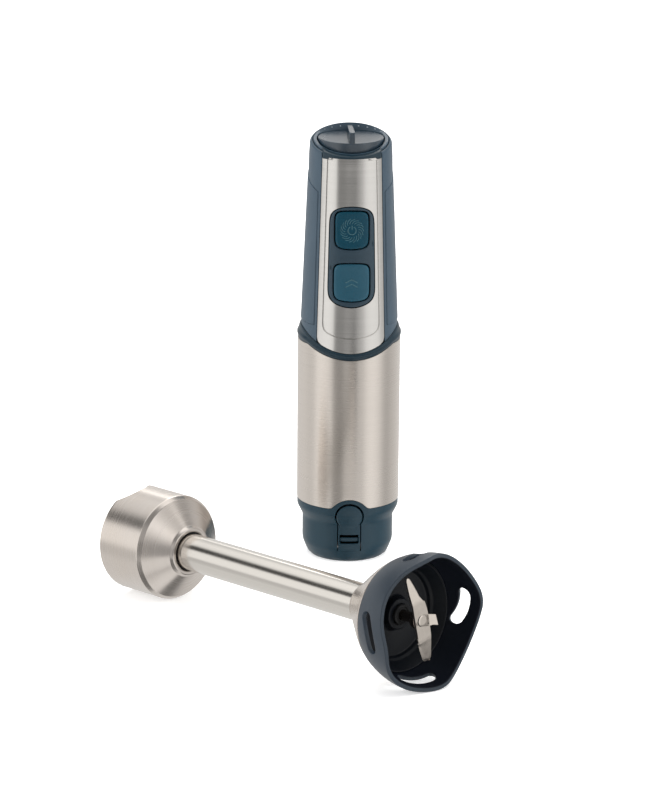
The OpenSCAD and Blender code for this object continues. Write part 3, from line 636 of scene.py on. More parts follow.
def build_latch():
    # tongue with its window
    z_top = LATCH_Z - LATCH_R * 0.62
    outer = [(x, TONGUE_ROOT_Z + 0.1) for x in steps(12, -TONGUE_X, TONGUE_X)]
    outer += [(TONGUE_X, z) for z in steps(16, TONGUE_ROOT_Z + 0.1, z_top)[1:]]
    outer += [(x, z_top) for x in steps(12, TONGUE_X, -TONGUE_X)[1:]]
    outer += [(-TONGUE_X, z) for z in steps(16, z_top, TONGUE_ROOT_Z + 0.1)[1:-1]]
    window = fillet([(-5.2, 10.9), (5.2, 10.9), (5.2, 16.0), (-5.2, 16.0)], 0.5, 3)
    window = resample(window, 44)

    def place(x, z):
        r = min(latch_face_r(z), base_r(z) + 0.02) if z < 22 else latch_face_r(z)
        return front_point(r, x, z)
    skin = sheet_mesh([outer, window], 0.8, place)
    make("latch_tongue", *skin, "latch", "slate_plastic", "base", ["release_latch"],
         centre=on_axis, thick=1.7, bevel=0.14)
    # round button: rings from its rim to its middle
    rings = []
    for inset, drop in ((1.3, -1.9), (0.3, -0.85), (0.12, -0.4), (0.32, -0.15), (0.7, -0.02), (1.2, 0.0),
                        (2.2, 0.03), (3.6, 0.06), (5.2, 0.08), (6.6, 0.09), (7.19, 0.09)):
        ring = []
        for k in range(72):
            a = 2 * pi * k / 72
            x, z = (LATCH_R - inset) * cos(a), LATCH_Z + (LATCH_R - inset) * sin(a)
            ring.append(front_point(latch_face_r(z) + drop, x, z))
        rings.append(ring)
    v, f = loft(rings, cap_end=True)
    make("latch_button", v, f, "latch", "slate_plastic", "base", centre=on_axis)
    # bar across the window, set deeper
    bar = []
    for x in steps(14, -5.05, 5.05):
        ring = []
        for dz, dr in fillet([(-1.15, -1.2), (-1.15, 0.0), (1.15, 0.0), (1.15, -1.2)], [0, 0.35, 0.5, 0], 3):
            ring.append(front_point(NECK_R - 0.7 + dr, x, 13.15 + dz))
        bar.append(ring)
    v, f = capped_bar(bar)
    make("latch_catch", v, f, "latch", "slate_plastic", "base")


# ---------- handle ----------
def phi_at(x, z):
    return asin(clamp(x / handle_r(z), -1, 1))


def top_z(y, drop=0.0):
    """Slanted top of the handle, a little steeper behind the dial and in front of it."""
    return TOP_MID_Z + y * TOP_SLOPE + 0.075 * max(0.0, y - 7.0) - 0.085 * max(0.0, -y - 4.0) - drop


def shell_top(phi, z):
    return top_z(-handle_r(z) * cos(phi), 0.5)


def grip_top(phi, z):
    return GRIP_TOP_Z - handle_r(z) * cos(phi) * GRIP_SLOPE


def patch(columns, rows, skip=(), rise=lambda phi, z: 0.0):
    """Grid on the handle. columns is [(phi function of z, cells)], rows [(z function of phi, cells)]."""
    def solve(ci, fc, ri, fr):
        z = 170.0
        for _ in range(6):
            phi = mix(columns[ci][0](z), columns[ci + 1][0](z), fc)
            z = mix(rows[ri][0](phi, z), rows[ri + 1][0](phi, z), fr)
        return phi, z

    def cells(bands):
        """(band, fraction of it) for every grid line."""
        out = [(i, k / bands[i][1]) for i in range(len(bands) - 1) for k in range(bands[i][1])]
        return out + [(len(bands) - 2, 1.0)]
    cols, rws = cells(columns), cells(rows)
    verts, faces = [], []
    for ri, fr in rws:
        for ci, fc in cols:
            phi, z = solve(ci, fc, ri, fr)
            verts.append(polar(handle_r(z) + rise(phi, z), phi, z))
    n = len(cols)
    for j in range(len(rws) - 1):
        for i in range(n - 1):
            if (cols[i][0], rws[j][0]) not in skip:
                a = j * n + i
                faces.append((a, a + 1, a + n + 1, a + n))
    return verts, faces


def rounded_rim(phi, z):
    """The shell's upper edge curls inward."""
    u = clamp(1 - (shell_top(phi, z) - z) / 1.5)
    return -1.1 * (1 - sqrt(max(0.0, 1 - u * u)))


def build_shell():
    gap = 0.06
    edge = [
        lambda z: phi_at(panel_x(z) + 0.38, z),
        lambda z: phi_at(panel_x(z) + GRIP_SEAM - gap, z),
        lambda z: pi - phi_at(GRIP_BACK_X - gap, z),
    ]
    columns = [(edge[0], 3), (edge[1], 44), (edge[2], 12),
               (lambda z: 2 * pi - edge[2](z), 44), (lambda z: 2 * pi - edge[1](z), 3),
               (lambda z: 2 * pi - edge[0](z), 0)]
    rows = [(lambda phi, z: collar_top(phi) + 0.02, 4), (lambda phi, z: COLLAR_TOP_Z + 2.2 - gap, 44),
            (lambda phi, z: grip_top(phi, z) + gap, 10), (lambda phi, z: shell_top(phi, z) - 1.5, 6),
            (lambda phi, z: shell_top(phi, z), 0)]
    v, f = patch(columns, rows, skip={(1, 1), (3, 1)}, rise=rounded_rim)
    make("handle_cover", v, f, "motor_unit", "slate_plastic", "grip", ["handle_shell"],
         centre=on_axis, thick=2.2, bevel=0.25)
    # black sheet behind the seams and the panel's edges: painted shade seen through the gaps
    core = [[polar(handle_r(z) - 4.8, a, z) for a in ROUND[::2]] for z in steps(24, 119.0, 219.0)]
    v, f = loft(core)
    make("handle_gap_shade_sheet", v, f, "motor_unit", "black_plastic", "black", centre=on_axis, thick=0.8)
    for side, name in ((1, "right"), (-1, "left")):
        cols = [(lambda z: phi_at(panel_x(z) + GRIP_SEAM + gap, z), 44),
                (lambda z: pi - phi_at(GRIP_BACK_X + gap, z), 0)]
        rws = [(lambda phi, z: COLLAR_TOP_Z + 2.2 + gap, 48), (lambda phi, z: grip_top(phi, z) - gap, 0)]
        v, f = patch(cols, rws, rise=lambda phi, z: 0.28)
        v = [(x * side, y, z) for x, y, z in v]
        make(f"{name}_grip_pad", v, f, "motor_unit", "soft_grip", "grip", [f"{name}_grip"],
             centre=on_axis, thick=1.4, bevel=0.38, bevel_steps=3)


# ---------- front panel, bezel and buttons ----------
def bezel_outline(grow=0.0, n=160):
    """Tapered outline with an arched top and a rounder foot, as (x, z), from the bottom's middle."""
    high_z, low_z, top_x, low_x, arc = 196.6 + grow, 142.0 - grow, 11.5 + grow, 12.6 + grow, 24.0

    def half(z):
        return mix(low_x, top_x, (z - low_z) / (high_z - low_z))
    pts = [(x, low_z + x * x / (2 * 20.0)) for x in steps(20, 0, low_x)]
    z0, z1 = low_z + low_x ** 2 / 40.0, high_z - top_x ** 2 / (2 * arc)
    pts += [(half(z), z) for z in steps(30, z0, z1)[1:]]
    pts += [(x, high_z - x * x / (2 * arc)) for x in steps(40, top_x, -top_x)[1:]]
    pts += [(-half(z), z) for z in steps(30, z1, z0)[1:]]
    pts += [(x, low_z + x * x / (2 * 20.0)) for x in steps(20, -low_x, 0)[1:-1]]
    return soften(resample(pts, n), 26)


def button_outline(half_x, z, grow=0.0, n=120):
    x0, lo, hi = half_x + grow, z[0] - grow, z[1] + grow
    pts = [(x, lo + x * x / 70.0) for x in steps(16, 0, x0)]
    pts += [(x0, v) for v in steps(20, lo + x0 * x0 / 70.0, hi - x0 * x0 / 130.0)[1:]]
    pts += [(x, hi - x * x / 130.0) for x in steps(32, x0, -x0)[1:]]
    pts += [(-x0, v) for v in steps(20, hi - x0 * x0 / 130.0, lo + x0 * x0 / 70.0)[1:]]
    pts += [(x, lo + x * x / 70.0) for x in steps(16, -x0, 0)[1:-1]]
    return soften(resample(pts, n), 16)


def panel_outline_2d(inset, soft, lift=0.0, n=200):
    top = LIP_Z + 0.8
    low_x = PANEL_LOW_X - inset
    dip_z = PANEL_LOW_Z - PANEL_DIP + lift
    arc = COLLAR_ARC_R

    def low(x):
        return dip_z + arc - sqrt(arc * arc - x * x)
    z0 = low(low_x)
    pts = [(x, low(x)) for x in steps(24, 0, low_x)]
    pts += [(panel_x(z) - inset, z) for z in steps(60, z0, top)[1:]]
    pts += [(x, top) for x in steps(24, PANEL_TOP_X - inset, inset - PANEL_TOP_X)[1:]]
    pts += [(inset - panel_x(z), z) for z in steps(60, top, z0)[1:]]
    pts += [(x, low(x)) for x in steps(24, -low_x, 0)[1:-1]]
    pts = resample(pts, n)
    return soften(pts, soft, keep=pts[:, 1] > LIP_Z - 4)


def build_panel():
    outer = panel_outline_2d(0.0, 2)
    step_out = panel_outline_2d(2.35, 4, 7.7)
    step_in = panel_outline_2d(3.05, 5, 8.4)
    hole = bezel_outline(0.3, len(outer))
    rings = []
    for t in (0.0, 0.12, 0.35, 0.65, 0.9, 1.0):
        rings.append([on_handle(x, z, 0.05) for x, z in mix(outer, step_out, t)])
    for t, rise in ((0.12, -0.12), (0.35, -0.2), (0.6, 0.2), (0.85, 0.5)):
        rings.append([on_handle(x, z, rise) for x, z in mix(step_out, step_in, t)])
    for t in (0.0, 0.03, 0.1, 0.2, 0.32, 0.45, 0.58, 0.7, 0.82, 0.92, 1.0):
        rings.append([on_handle(x, z, 0.58) for x, z in mix(step_in, hole, t)])
    v, f = loft(rings)
    make("front_plate", v, f, "motor_unit", "brushed_steel", "panel", ["front_panel"],
         centre=on_axis, thick=0.9, bevel=0.16)


def build_bezel():
    """Closed frame: a face with two openings, rounded edges and walls down into the handle."""
    edge = [(0.0, -1.3), (0.0, 0.2), (0.07, 0.48), (0.2, 0.66), (0.38, 0.77), (0.62, 0.82)]
    n = 190
    shapes = [lambda inset: bezel_outline(-0.12 - inset, n),
              lambda inset: button_outline(POWER_X, POWER_Z, BUTTON_GAP + inset),
              lambda inset: button_outline(TURBO_X, TURBO_Z, BUTTON_GAP + inset)]
    parts = [loft([[on_handle(x, z, rise) for x, z in shape(inset)] for inset, rise in edge])
             for shape in shapes]
    for inset, rise in (edge[-1], edge[0]):
        parts.append(sheet_mesh([shape(inset) for shape in shapes], 0.95,
                                lambda x, z, rise=rise: on_handle(x, z, rise)))
    make("bezel_frame", *joined(*parts), "motor_unit", "slate_plastic", "slate", ["button_bezel"])


def button_rise(x, z, mid):
    """The face is slightly dished for the finger."""
    d = (x * x + (z - mid) ** 2) / 90.0
    return 1.0 + 0.22 * min(d, 1.0)


def build_button(name, body, half_x, z, cad_node, mat):
    mid = (z[0] + z[1]) / 2
    outline = button_outline(half_x, z, 0.1)
    core = button_outline(half_x, z, -1.5)
    rings = [[on_handle(x, v, -1.6) for x, v in outline]]
    for t, drop in ((0.0, -0.55), (0.05, -0.28), (0.16, -0.12), (0.34, -0.03), (0.6, 0.0), (1.0, 0.0)):
        rings.append([on_handle(x, v, button_rise(x, v, mid) + drop) for x, v in mix(outline, core, t)])
    centre = np.array([0.0, mid])
    for t in (0.82, 0.64, 0.46, 0.28, 0.12, 0.02):
        ring = centre + (core - centre) * t
        rings.append([on_handle(x, v, button_rise(x, v, mid)) for x, v in ring])
    v, f = loft(rings, cap_start=True, cap_end=True)
    make(name, v, f, body, "teal_plastic", mat, [cad_node])


def stroke(points, width):
    """2-D ribbon along points."""
    p = np.array(points, float)
    d = np.gradient(p, axis=0)
    d /= np.hypot(*d.T)[:, None]
    side = np.c_[-d[:, 1], d[:, 0]] * width / 2
    return p + side, p - side


def mark_mesh(ribbons, mid, rise):
    parts = []
    for pts, width in ribbons:
        rings = [[on_handle(x, mid + z, button_rise(x, mid + z, mid) + h)
                  for (x, z), h in ((p, rise), (q, rise), (q, -0.1), (p, -0.1))]
                 for p, q in zip(*stroke(pts, width))]
        parts.append(capped_bar(rings))
    return joined(*parts)


def build_symbols():
    ribbons = []
    gap = radians(26)
    ribbons.append(([(2.15 * sin(a), 2.15 * cos(a)) for a in steps(26, gap, 2 * pi - gap)], 0.42))
    ribbons.append(([(0, z) for z in steps(4, 0.5, 2.7)], 0.42))
    for k in range(18):
        a0 = 2 * pi * k / 18
        pts = []
        for t in steps(5):
            r = mix(3.5, 6.3, t)
            a = a0 + 0.42 * t * t + 0.18 * t
            pts.append((r * sin(a), r * cos(a)))
        ribbons.append((pts, 0.3))
    mid = sum(POWER_Z) / 2
    make("power_mark", *mark_mesh(ribbons, mid, 0.05), "power_key", "pale_print", "print", ["power_symbol"])
    ribbons = []
    for lift in (-1.5, 0.9):
        ribbons.append(([(mix(-3.2, 0, t), mix(-0.8, 0.9, t) + lift) for t in steps(4)], 0.5))
        ribbons.append(([(mix(0, 3.2, t), mix(0.9, -0.8, t) + lift) for t in steps(4)], 0.5))
    mid = sum(TURBO_Z) / 2
    make("turbo_mark", *mark_mesh(ribbons, mid, 0.05), "turbo_key", "pale_print", "print", ["turbo_symbol"])


# ---------- top: dial bezel, dial, gland ----------
def shelf_point(a, t, lift=0.0):
    """Point on the slope behind the dial: t is 0 at the bezel's rim and 1 beside the dial."""
    r = mix(19.5, DIAL_R + 0.8, t) - 0.9 * lift
    x, y = r * sin(a), r * cos(a)
    return x, y, mix(top_z(y), min(top_z(y), DIAL_Z + 0.4), t) + 0.4 * lift


def build_dial_bezel():
    well_r, floor_z = DIAL_R + 0.5, 222.2
    outer_r = 20.0
    rings = []
    # closed section: outer wall, slanted top, well wall, floor, underside
    section = [("z", outer_r, 219.9), ("top", outer_r, 0.7), ("top", outer_r - 0.12, 0.3),
               ("top", outer_r - 0.3, 0.06), ("top", outer_r - 0.5, 0.0), ("shelf", well_r + 0.3, 0.0),
               ("shelf", well_r + 0.12, 0.12), ("shelf", well_r, 0.45), ("z", well_r, floor_z + 0.4),
               ("z", well_r - 0.4, floor_z), ("z", 3.6, floor_z), ("z", 3.6, 219.9)]
    for kind, r, value in section:
        ring = []
        for a in ROUND:
            x, y = r * sin(a), -r * cos(a)
            z = value if kind == "z" else max(top_z(y, value), floor_z + 1.2 - value)
            if kind == "shelf":
                z = min(z, DIAL_Z + 0.4 - value)
            ring.append((x, y, z))
        rings.append(ring)
    well = loft(rings, True, True)
    # front lip: follows the handle's round front, from the slanted top down over the panel's end
    lip = []
    for x in steps(44, -PANEL_TOP_X + 0.05, PANEL_TOP_X - 0.05):
        ring = []
        raised = 0.22 * clamp((12.6 - abs(x)) / 0.5)
        for inward, z_of in ((0.0, "low"), (0.0, "mid"), (0.25, "up"), (0.8, "top"), (2.2, "back"),
                             (4.6, "deep"), (3.2, "under"), (0.3, "low2")):
            r = handle_r(222.0) + 0.3 + raised - inward
            y = -sqrt(r * r - x * x)
            rim = top_z(y) + 0.1
            z = {"low": LIP_Z, "mid": rim - 0.8, "up": rim - 0.25, "top": rim, "back": rim + 0.1,
                 "deep": rim - 0.3, "under": LIP_Z - 0.2, "low2": LIP_Z - 0.2}[z_of]
            ring.append((x, y, z))
        lip.append(ring)
    lip_mesh = capped_bar(lip)
    make("dial_well", *well, "motor_unit", "slate_plastic", "grip", ["dial_bezel"])
    # the front lip takes the darker slate: painted shade on its front face
    make("dial_lip", *lip_mesh, "motor_unit", "slate_plastic", "deep")
    # raised marks on the slope behind the dial, wider toward the fast end
    parts = []
    for i in range(9):
        mid, half = -60 + i * 15, 0.008 + 0.003 * i
        pts = []
        for lift in (-0.1, 0.1):
            for t, side in ((0.42, -1), (0.54, -1), (0.54, 1), (0.42, 1)):
                pts.append(shelf_point(radians(mid) + half * side, t, lift))
        parts.append((pts, [(0, 1, 2, 3), (4, 7, 6, 5), (0, 4, 5, 1), (1, 5, 6, 2), (2, 6, 7, 3),
                            (3, 7, 4, 0)]))
    make("speed_marks", *joined(*parts), "motor_unit", "pale_print", "scale", ["dial_scale"])


def build_dial():
    prof = fillet([(0, 223.5), (DIAL_R - 0.2, 223.5), (DIAL_R, DIAL_Z), (0, DIAL_Z)], [0, 0.5, 0.45, 0], 5)
    rings = []
    for r, z in prof:
        flute = clamp((DIAL_Z - 1.0 - z) / 0.6) * clamp((z - 223.9) / 0.6)
        n = 288
        ring = []
        for i in range(n):
            a = 2 * pi * i / n
            rr = r - (0.1 * flute * (0.5 - 0.5 * cos(a * 72)) if r > 10 else 0)
            ring.append((rr * cos(a), rr * sin(a), z))
        rings.append(ring)
    body = loft(rings)
    # finger rib: a rounded bar that falls away toward the back
    rib = []
    half = 1.5
    for y in [-DIAL_R + 0.15, -DIAL_R + 0.3, -DIAL_R + 0.75] + steps(16, -DIAL_R + 1.6, DIAL_R - 1.6) \
            + [DIAL_R - 0.75, DIAL_R - 0.3, DIAL_R - 0.15]:
        t = (y + DIAL_R) / (2 * DIAL_R)
        rise = mix(6.1, 2.9, t)
        end = clamp(1 - (DIAL_R - 0.15 - abs(y)) / 1.3)
        rise -= 0.5 * end * end
        w = half - 0.18 * end * end
        foot, crest = DIAL_Z - 0.3, DIAL_Z + rise
        sec = fillet([(-w, foot), (-w + 0.06, crest), (w - 0.06, crest), (w, foot)],
                     [0, 0.35, 0.35, 0], 4, closed=True)
        rib.append([(x, y, z) for x, z in sec])
    rib_mesh = capped_bar(rib)
    make("dial_knob", *joined(body, rib_mesh), "speed_dial", "slate_plastic", "dial", ["dial_cap"])


def build_gland():
    prof = fillet([(3.6, -1.5), (5.0, -1.5), (5.0, 1.6), (7.2, 1.6), (7.2, 4.6), (6.3, 7.0), (3.6, 7.0)],
                  [0.2, 0.2, 0.1, 0.3, 0.6, 0.5, 0.4], 4)
    turn = Matrix.Translation((0, 21, 222)) @ Matrix.Rotation(radians(-75), 4, "X")
    parts = [moved(turn, lathe(prof, 96))]
    parts += [box_mesh((6.9, -0.55, 2.3), (7.45, 0.55, 4.3), turn @ spin(k / 10)) for k in range(10)]
    make("gland_boss", *joined(*parts), "motor_unit", "black_rubber", "slate", ["cord_gland"])


# ---------- blending rod, in its own frame: z is the station along it ----------
def rod_piece(name, mesh, slot, mat, nodes=(), body="rod", **more):
    make(name, *mesh, body, slot, mat, nodes, at_rod=True, **more)


def build_cup():
    def rim(a):
        y = SLEEVE_R * sin(a)
        if cos(a) <= 0 or abs(y) >= NOTCH_R:
            return 0.0
        depth = NOTCH_DEPTH - NOTCH_R + sqrt(NOTCH_R ** 2 - y * y)
        return (depth + sqrt(depth * depth + 0.25)) / 2 if depth > -2 else 0.0
    outer = fillet([(SLEEVE_R, 12.0), (SLEEVE_R, CUP_DEPTH + 0.6), (25.9, 31.2), (13.5, 39.2), (12.4, 41.0),
                    (10.25, 41.0), (10.25, 38.4), (12.4, 38.2), (24.9, 30.4),
                    (SLEEVE_R - CUP_WALL, CUP_DEPTH - 0.5), (SLEEVE_R - CUP_WALL, 12.0)],
                   [0, 1.3, 1.2, 0.6, 0.9, 0.8, 0.5, 0.6, 1.0, 0.8, 0], 6, closed=False)
    rings = []
    for r, t in ((SLEEVE_R - CUP_WALL, 0.5), (SLEEVE_R - CUP_WALL, 0.03), (SLEEVE_R - CUP_WALL + 0.12, 0.006),
                 (SLEEVE_R - CUP_WALL / 2, 0.0), (SLEEVE_R - 0.12, 0.006), (SLEEVE_R, 0.03), (SLEEVE_R, 0.12),
                 (SLEEVE_R, 0.3), (SLEEVE_R, 0.6)):
        rings.append(circle(r, lambda a, t=t: mix(rim(a), 12.0, t), ROUND))
    rings += [circle(r, s, ROUND) for r, s in outer]
    rod_piece("cup_shell", loft(rings, True, True), "brushed_steel", "cup", ["coupling_cup"])
    # lining with drive ribs
    def rim_in(a):
        y = 26.0 * sin(a)
        if cos(a) <= 0 or abs(y) >= NOTCH_R:
            return 1.2
        return max(1.2, NOTCH_DEPTH - NOTCH_R - 0.1 + sqrt((NOTCH_R + 0.1) ** 2 - y * y))
    r_in, r_out = 24.6, SLEEVE_R - CUP_WALL - 0.06
    rings = []
    for r, t in ((r_in, 1.0), (r_in, 0.5), (r_in, 0.05), (r_in + 0.3, 0.0), (r_out - 0.3, 0.0), (r_out, 0.05),
                 (r_out, 0.5), (r_out, 1.0)):
        rings.append(circle(r, lambda a, t=t: mix(rim_in(a), 20.0, t), ROUND))
    back = fillet([(r_out, 27.4), (20, 29.6), (13.5, 33.0), (9.66, 33.8), (9.66, 25.4), (18, 25.4),
                   (20.6, 21.5), (r_in, 21.5)], [0.5, 2, 2, 0.3, 0.8, 1.5, 0.5, 0.5], 4)
    lining = loft(rings + [circle(r, s, ROUND) for r, s in back], True, True)
    ribs = [box_mesh((9.7, -0.6, 23.6), (18.2, 0.6, 25.8), spin((k + 0.5) / 8)) for k in range(8)]
    rod_piece("cup_lining", joined(lining, *ribs), "slate_plastic", "base", ["cup_insert"])
    prof = fillet([(9.63, 38.4), (10.22, 38.4), (10.22, 40.0), (9.63, 40.0)], 0.15, 3)
    rod_piece("nose_gasket", lathe(prof, 96), "black_rubber", "rubber", ["nose_ring"])


def build_tube():
    prof = fillet([(TUBE_R - 1, 25.0), (TUBE_R, 25.0), (TUBE_R, 173.0), (TUBE_R - 1, 173.0)], 0.2, 3)
    rod_piece("steel_tube", lathe(finer(prof + prof[:1], 8)[:-1], 128), "polished_steel", "tube",
              ["shaft_tube"])


def bell_r(s):
    s1, r1 = BELL_CONE_END
    if s < s1:
        return r1 - (r1 - TUBE_R - 0.8) * (s1 - s) / (s1 - BELL_START)
    return GUARD_R - BELL_ARC_R + sqrt(BELL_ARC_R ** 2 - min(0.0, s - BELL_ARC_S) ** 2)


def smooth_bell_r(s):
    """The cone runs into the dome without a crease, and meets the tube in a short curve."""
    if s < BELL_START + 3:
        t = (s - BELL_START + 1.0) / 4.0
        return mix(TUBE_R + 0.3, bell_r(BELL_START + 3), t * (0.6 + 0.4 * t))
    return 0.25 * bell_r(s - 2.5) + 0.5 * bell_r(s) + 0.25 * bell_r(s + 2.5)


def build_bell():
    outer = [(smooth_bell_r(s), s) for s in steps(34, BELL_START - 1.0, GUARD_SEAM)]
    inner = [(smooth_bell_r(s) - 0.85, s) for s in steps(24, GUARD_SEAM, BELL_START + 2.5)]
    prof = [(TUBE_R + 0.03, BELL_START - 0.9)] + outer + inner + [(TUBE_R + 0.03, BELL_START + 2.5)]
    rod_piece("bell_shell", lathe(prof, 160), "brushed_steel", "cup", ["bell_housing"])


def guard_rim(a):
    """Station of the rim: four feet and four scallops between them, softly joined."""
    k = a % (pi / 2) - pi / 4
    y = GUARD_R * sin(k)
    cut = ROD_LEN - 4.8 + 52.0 - sqrt(52.0 ** 2 - y * y)
    soft = 0.9
    return (cut + ROD_LEN - sqrt((cut - ROD_LEN) ** 2 + soft ** 2)) / 2 + 0.15


def build_guard():
    scale = 33.0
    seam = pi * scale
    s0 = GUARD_SEAM + 0.3
    turn = radians(22.0)          # the seam lies between a slot and a foot

    def angle(u):
        return u / scale + turn

    def rim_at(u):
        return guard_rim(angle(u))
    bottom = [(-seam + 2 * seam * t, s0) for t in steps(150)]
    top = [(seam - 2 * seam * t, rim_at(seam - 2 * seam * t)) for t in steps(220)]
    rows = steps(22, s0, rim_at(seam))[1:-1]
    outer = bottom + [(seam, s) for s in rows] + top + [(-seam, s) for s in reversed(rows)]
    holes = []
    slant = radians(19)
    for k in range(4):
        mid = radians(90 * k - 11) - turn
        mid = (mid + pi) % (2 * pi) - pi
        pts = []
        half, r = 7.3, 3.4
        raw = [(half + r * sin(b), r * cos(b)) for b in steps(18, 0, pi)]
        raw += [(-half - r * sin(b), -r * cos(b)) for b in steps(18, 0, pi)]
        raw = resample(raw, 64)
        for p, q in raw:
            q -= 0.014 * (p * p - 40.0)      # the slot bends a little, like a bean
            along = p * cos(slant) - q * sin(slant)
            across = p * sin(slant) + q * cos(slant)
            pts.append((mid * scale + along, SLOT_S + across))
        holes.append(pts)

    def place(u, s):
        a = angle(u)
        r = bell_r(s) if s > 196 else smooth_bell_r(s)
        return (r * cos(a), r * sin(a), s)
    skin = sheet_mesh([outer] + holes, 1.25, place)
    # the inside of the wall takes the darker inside colour: painted shade
    rod_piece("guard_wall", skin, "slate_plastic", "guard", ["blade_guard"], centre=on_axis,
              thick=2.3, bevel=0.5, bevel_steps=3, inner="guard_inside_shaded")
    # floor with a step and the hub in its middle, darker than the guard's outside as painted shade
    prof = fillet([(5.3, 178.0), (13.4, 178.0), (23.8, 191.0), (28.6, 199.0), (27.8, 200.4), (23.8, 194.3),
                   (22.6, 193.2), (21.8, 191.6), (9.2, 190.4), (8.4, 191.6), (7.9, 195.2), (5.3, 195.2)],
                  [0.5, 1, 1, 0.6, 0.8, 2.0, 1.0, 0.8, 1.0, 0.6, 0.8, 0.4], 4)
    rod_piece("guard_floor", lathe(prof, 128), "slate_plastic", "guard_floor")
    bore = DRIVE_R + 0.12
    prof = fillet([(bore, 185), (5.2, 185), (5.2, 196.6), (4.1, 197.2), (3.7, 196.4), (bore, 197.0)],
                  [0.2, 0.2, 0.4, 0.3, 0.2, 0.2], 3)
    rod_piece("hub_seal", lathe(prof, 96), "black_rubber", "rubber", ["shaft_seal"])


def blade_wing(stations, crease, bend, turn, ground):
    """Bent plate. stations holds (distance left, distance right, left, right) across the wing."""
    t = BLADE_T
    rings = []
    for u_left, u_right, left, right in stations:
        e = clamp((u_right - crease) / 2.5, 0.03, 1.0) * ground
        low = mix(t / 2 - 0.04, 0.16 - t / 2, clamp(e / 0.7))
        section = [(left, u_left, -t / 2), (right, u_right, -t / 2), (right, u_right, low),
                   (right - e, mix(u_right, u_left, e / (right - left)), t / 2), (left, u_left, t / 2)]
        ring = []
        for w, u, q in section:
            over = max(0.0, u - crease - 0.2 * w)
            ring.append((w, u - over * (1 - cos(bend)) - (q * sin(bend) if over else 0.0),
                         q + over * sin(bend)))
        rings.append(ring)
    return moved(Matrix.Rotation(turn, 4, "Z"), capped_bar(rings))


def build_blade():
    """Stamped blade: two long bent wings and a short one beside them, riveted to the shaft."""
    def level(rows):
        fine = []
        for (u0, l0, r0), (u1, l1, r1) in zip(rows, rows[1:]):
            n = max(1, int((u1 - u0) / 0.45))
            fine += [(mix(u0, u1, k / n), mix(l0, l1, k / n), mix(r0, r1, k / n)) for k in range(n)]
        return [(u, u, a, b) for u, a, b in fine + [rows[-1]]]
    upper = level([(-1, -4.7, 4.4), (5, -4.6, 4.3), (8.6, -4.5, 3.7), (9.3, -4.47, 3.6), (9.6, -4.45, 2.8),
                   (11, -4.4, 2.1), (15.8, -4.2, 1.3), (20, -3.7, 0.4), (22.3, -3.35, -0.2),
                   (23.1, -3.1, -0.5), (23.5, -2.7, -0.95), (23.7, -2.3, -1.4)])
    lower = level([(-1, -4.4, 4.7), (5, -4.1, 4.8), (7.8, -3.95, 4.85), (8.2, -3.9, 5.25), (10, -3.8, 5.0),
                   (15.1, -3.4, 4.0), (18.5, -3.1, 3.1), (21.4, -2.85, 2.3), (22.2, -2.5, 1.8),
                   (22.8, -1.9, 1.1), (23.1, -1.2, 0.4)])
    side = [(mix(0, 8.0, k), mix(0, 10.4, k), mix(-3.2, -2.8, k), mix(3.0, 3.2, k)) for k in steps(20)]
    turn = radians(-87.5)
    parts = [blade_wing(upper, 10.4, radians(-12), turn, 0.8),
             blade_wing(lower, 10.2, radians(-9), turn + pi, 2.7),
             blade_wing(side, 4.8, radians(17), turn - radians(110.5), 0.7)]
    v, f = joined(*parts)
    top = BLADE_S + BLADE_T
    v = [(x, y, z + BLADE_S + BLADE_T / 2) for x, y, z in v]
    rod_piece("blade_plate", (v, f), "blade_steel", "blade", ["blade"], body="blade_drive", bevel=0.06,
              bevel_angle=50)
    rivet = lathe(fillet([(0, top + 0.3), (2.2, top + 0.28), (2.9, top + 0.05), (3.0, top - 0.3),
                          (0, top - 0.3)], [0, 0.4, 0.2, 0, 0], 4), 64, False)
    rod_piece("blade_rivet", rivet, "blade_steel", "blade", body="blade_drive")
    # black crescent on the plate beside the rivet's edge: a painted shadow
    gap = []
    for a in steps(24, radians(10), radians(150)):
        w = 0.28 * sin(pi * (a - radians(10)) / radians(140)) + 0.04
        gap.append([(r * cos(a), r * sin(a), top + s) for r, s in
                    ((3.0 - w, -0.1), (3.0 - w, 0.1), (3.06 + w, 0.05), (3.06 + w, -0.1))])
    rod_piece("rivet_shadow_crescent", capped_bar(gap), "black_plastic", "black",
              body="blade_drive")
    # the collar and the shaft below take the darker shaft steel: painted shade
    prof = fillet([(DRIVE_R, 205.8), (4.6, 205.8), (5.0, 207.4), (5.0, 209.3), (DRIVE_R, 209.3)],
                  [0.1, 0.4, 0.3, 0.3, 0.1], 3)
    rod_piece("blade_collar", lathe(prof, 64), "blade_steel", "dark_shaft", ["blade_washer"],
              body="blade_drive")
    prof = [(0, 15.0)] + fillet([(0, 15.0), (DRIVE_R, 15.0), (DRIVE_R, 210.8), (0, 210.8)],
                                [0, 0.4, 0.3, 0], 3)
    rod_piece("rod_shaft", lathe(finer(prof, 10), 48, False), "shaft_steel", "dark_shaft", ["drive_shaft"],
              body="blade_drive")


build_sleeve()
build_collar()
build_base()
build_latch()
build_shell()
build_panel()
build_bezel()
build_button("power_cap", "power_key", POWER_X, POWER_Z, "power_button", "power")
build_button("turbo_cap", "turbo_key", TURBO_X, TURBO_Z, "turbo_button", "turbo")
build_symbols()
build_dial_bezel()
build_dial()
build_gland()
build_cup()
build_tube()
build_bell()
build_guard()
build_blade()

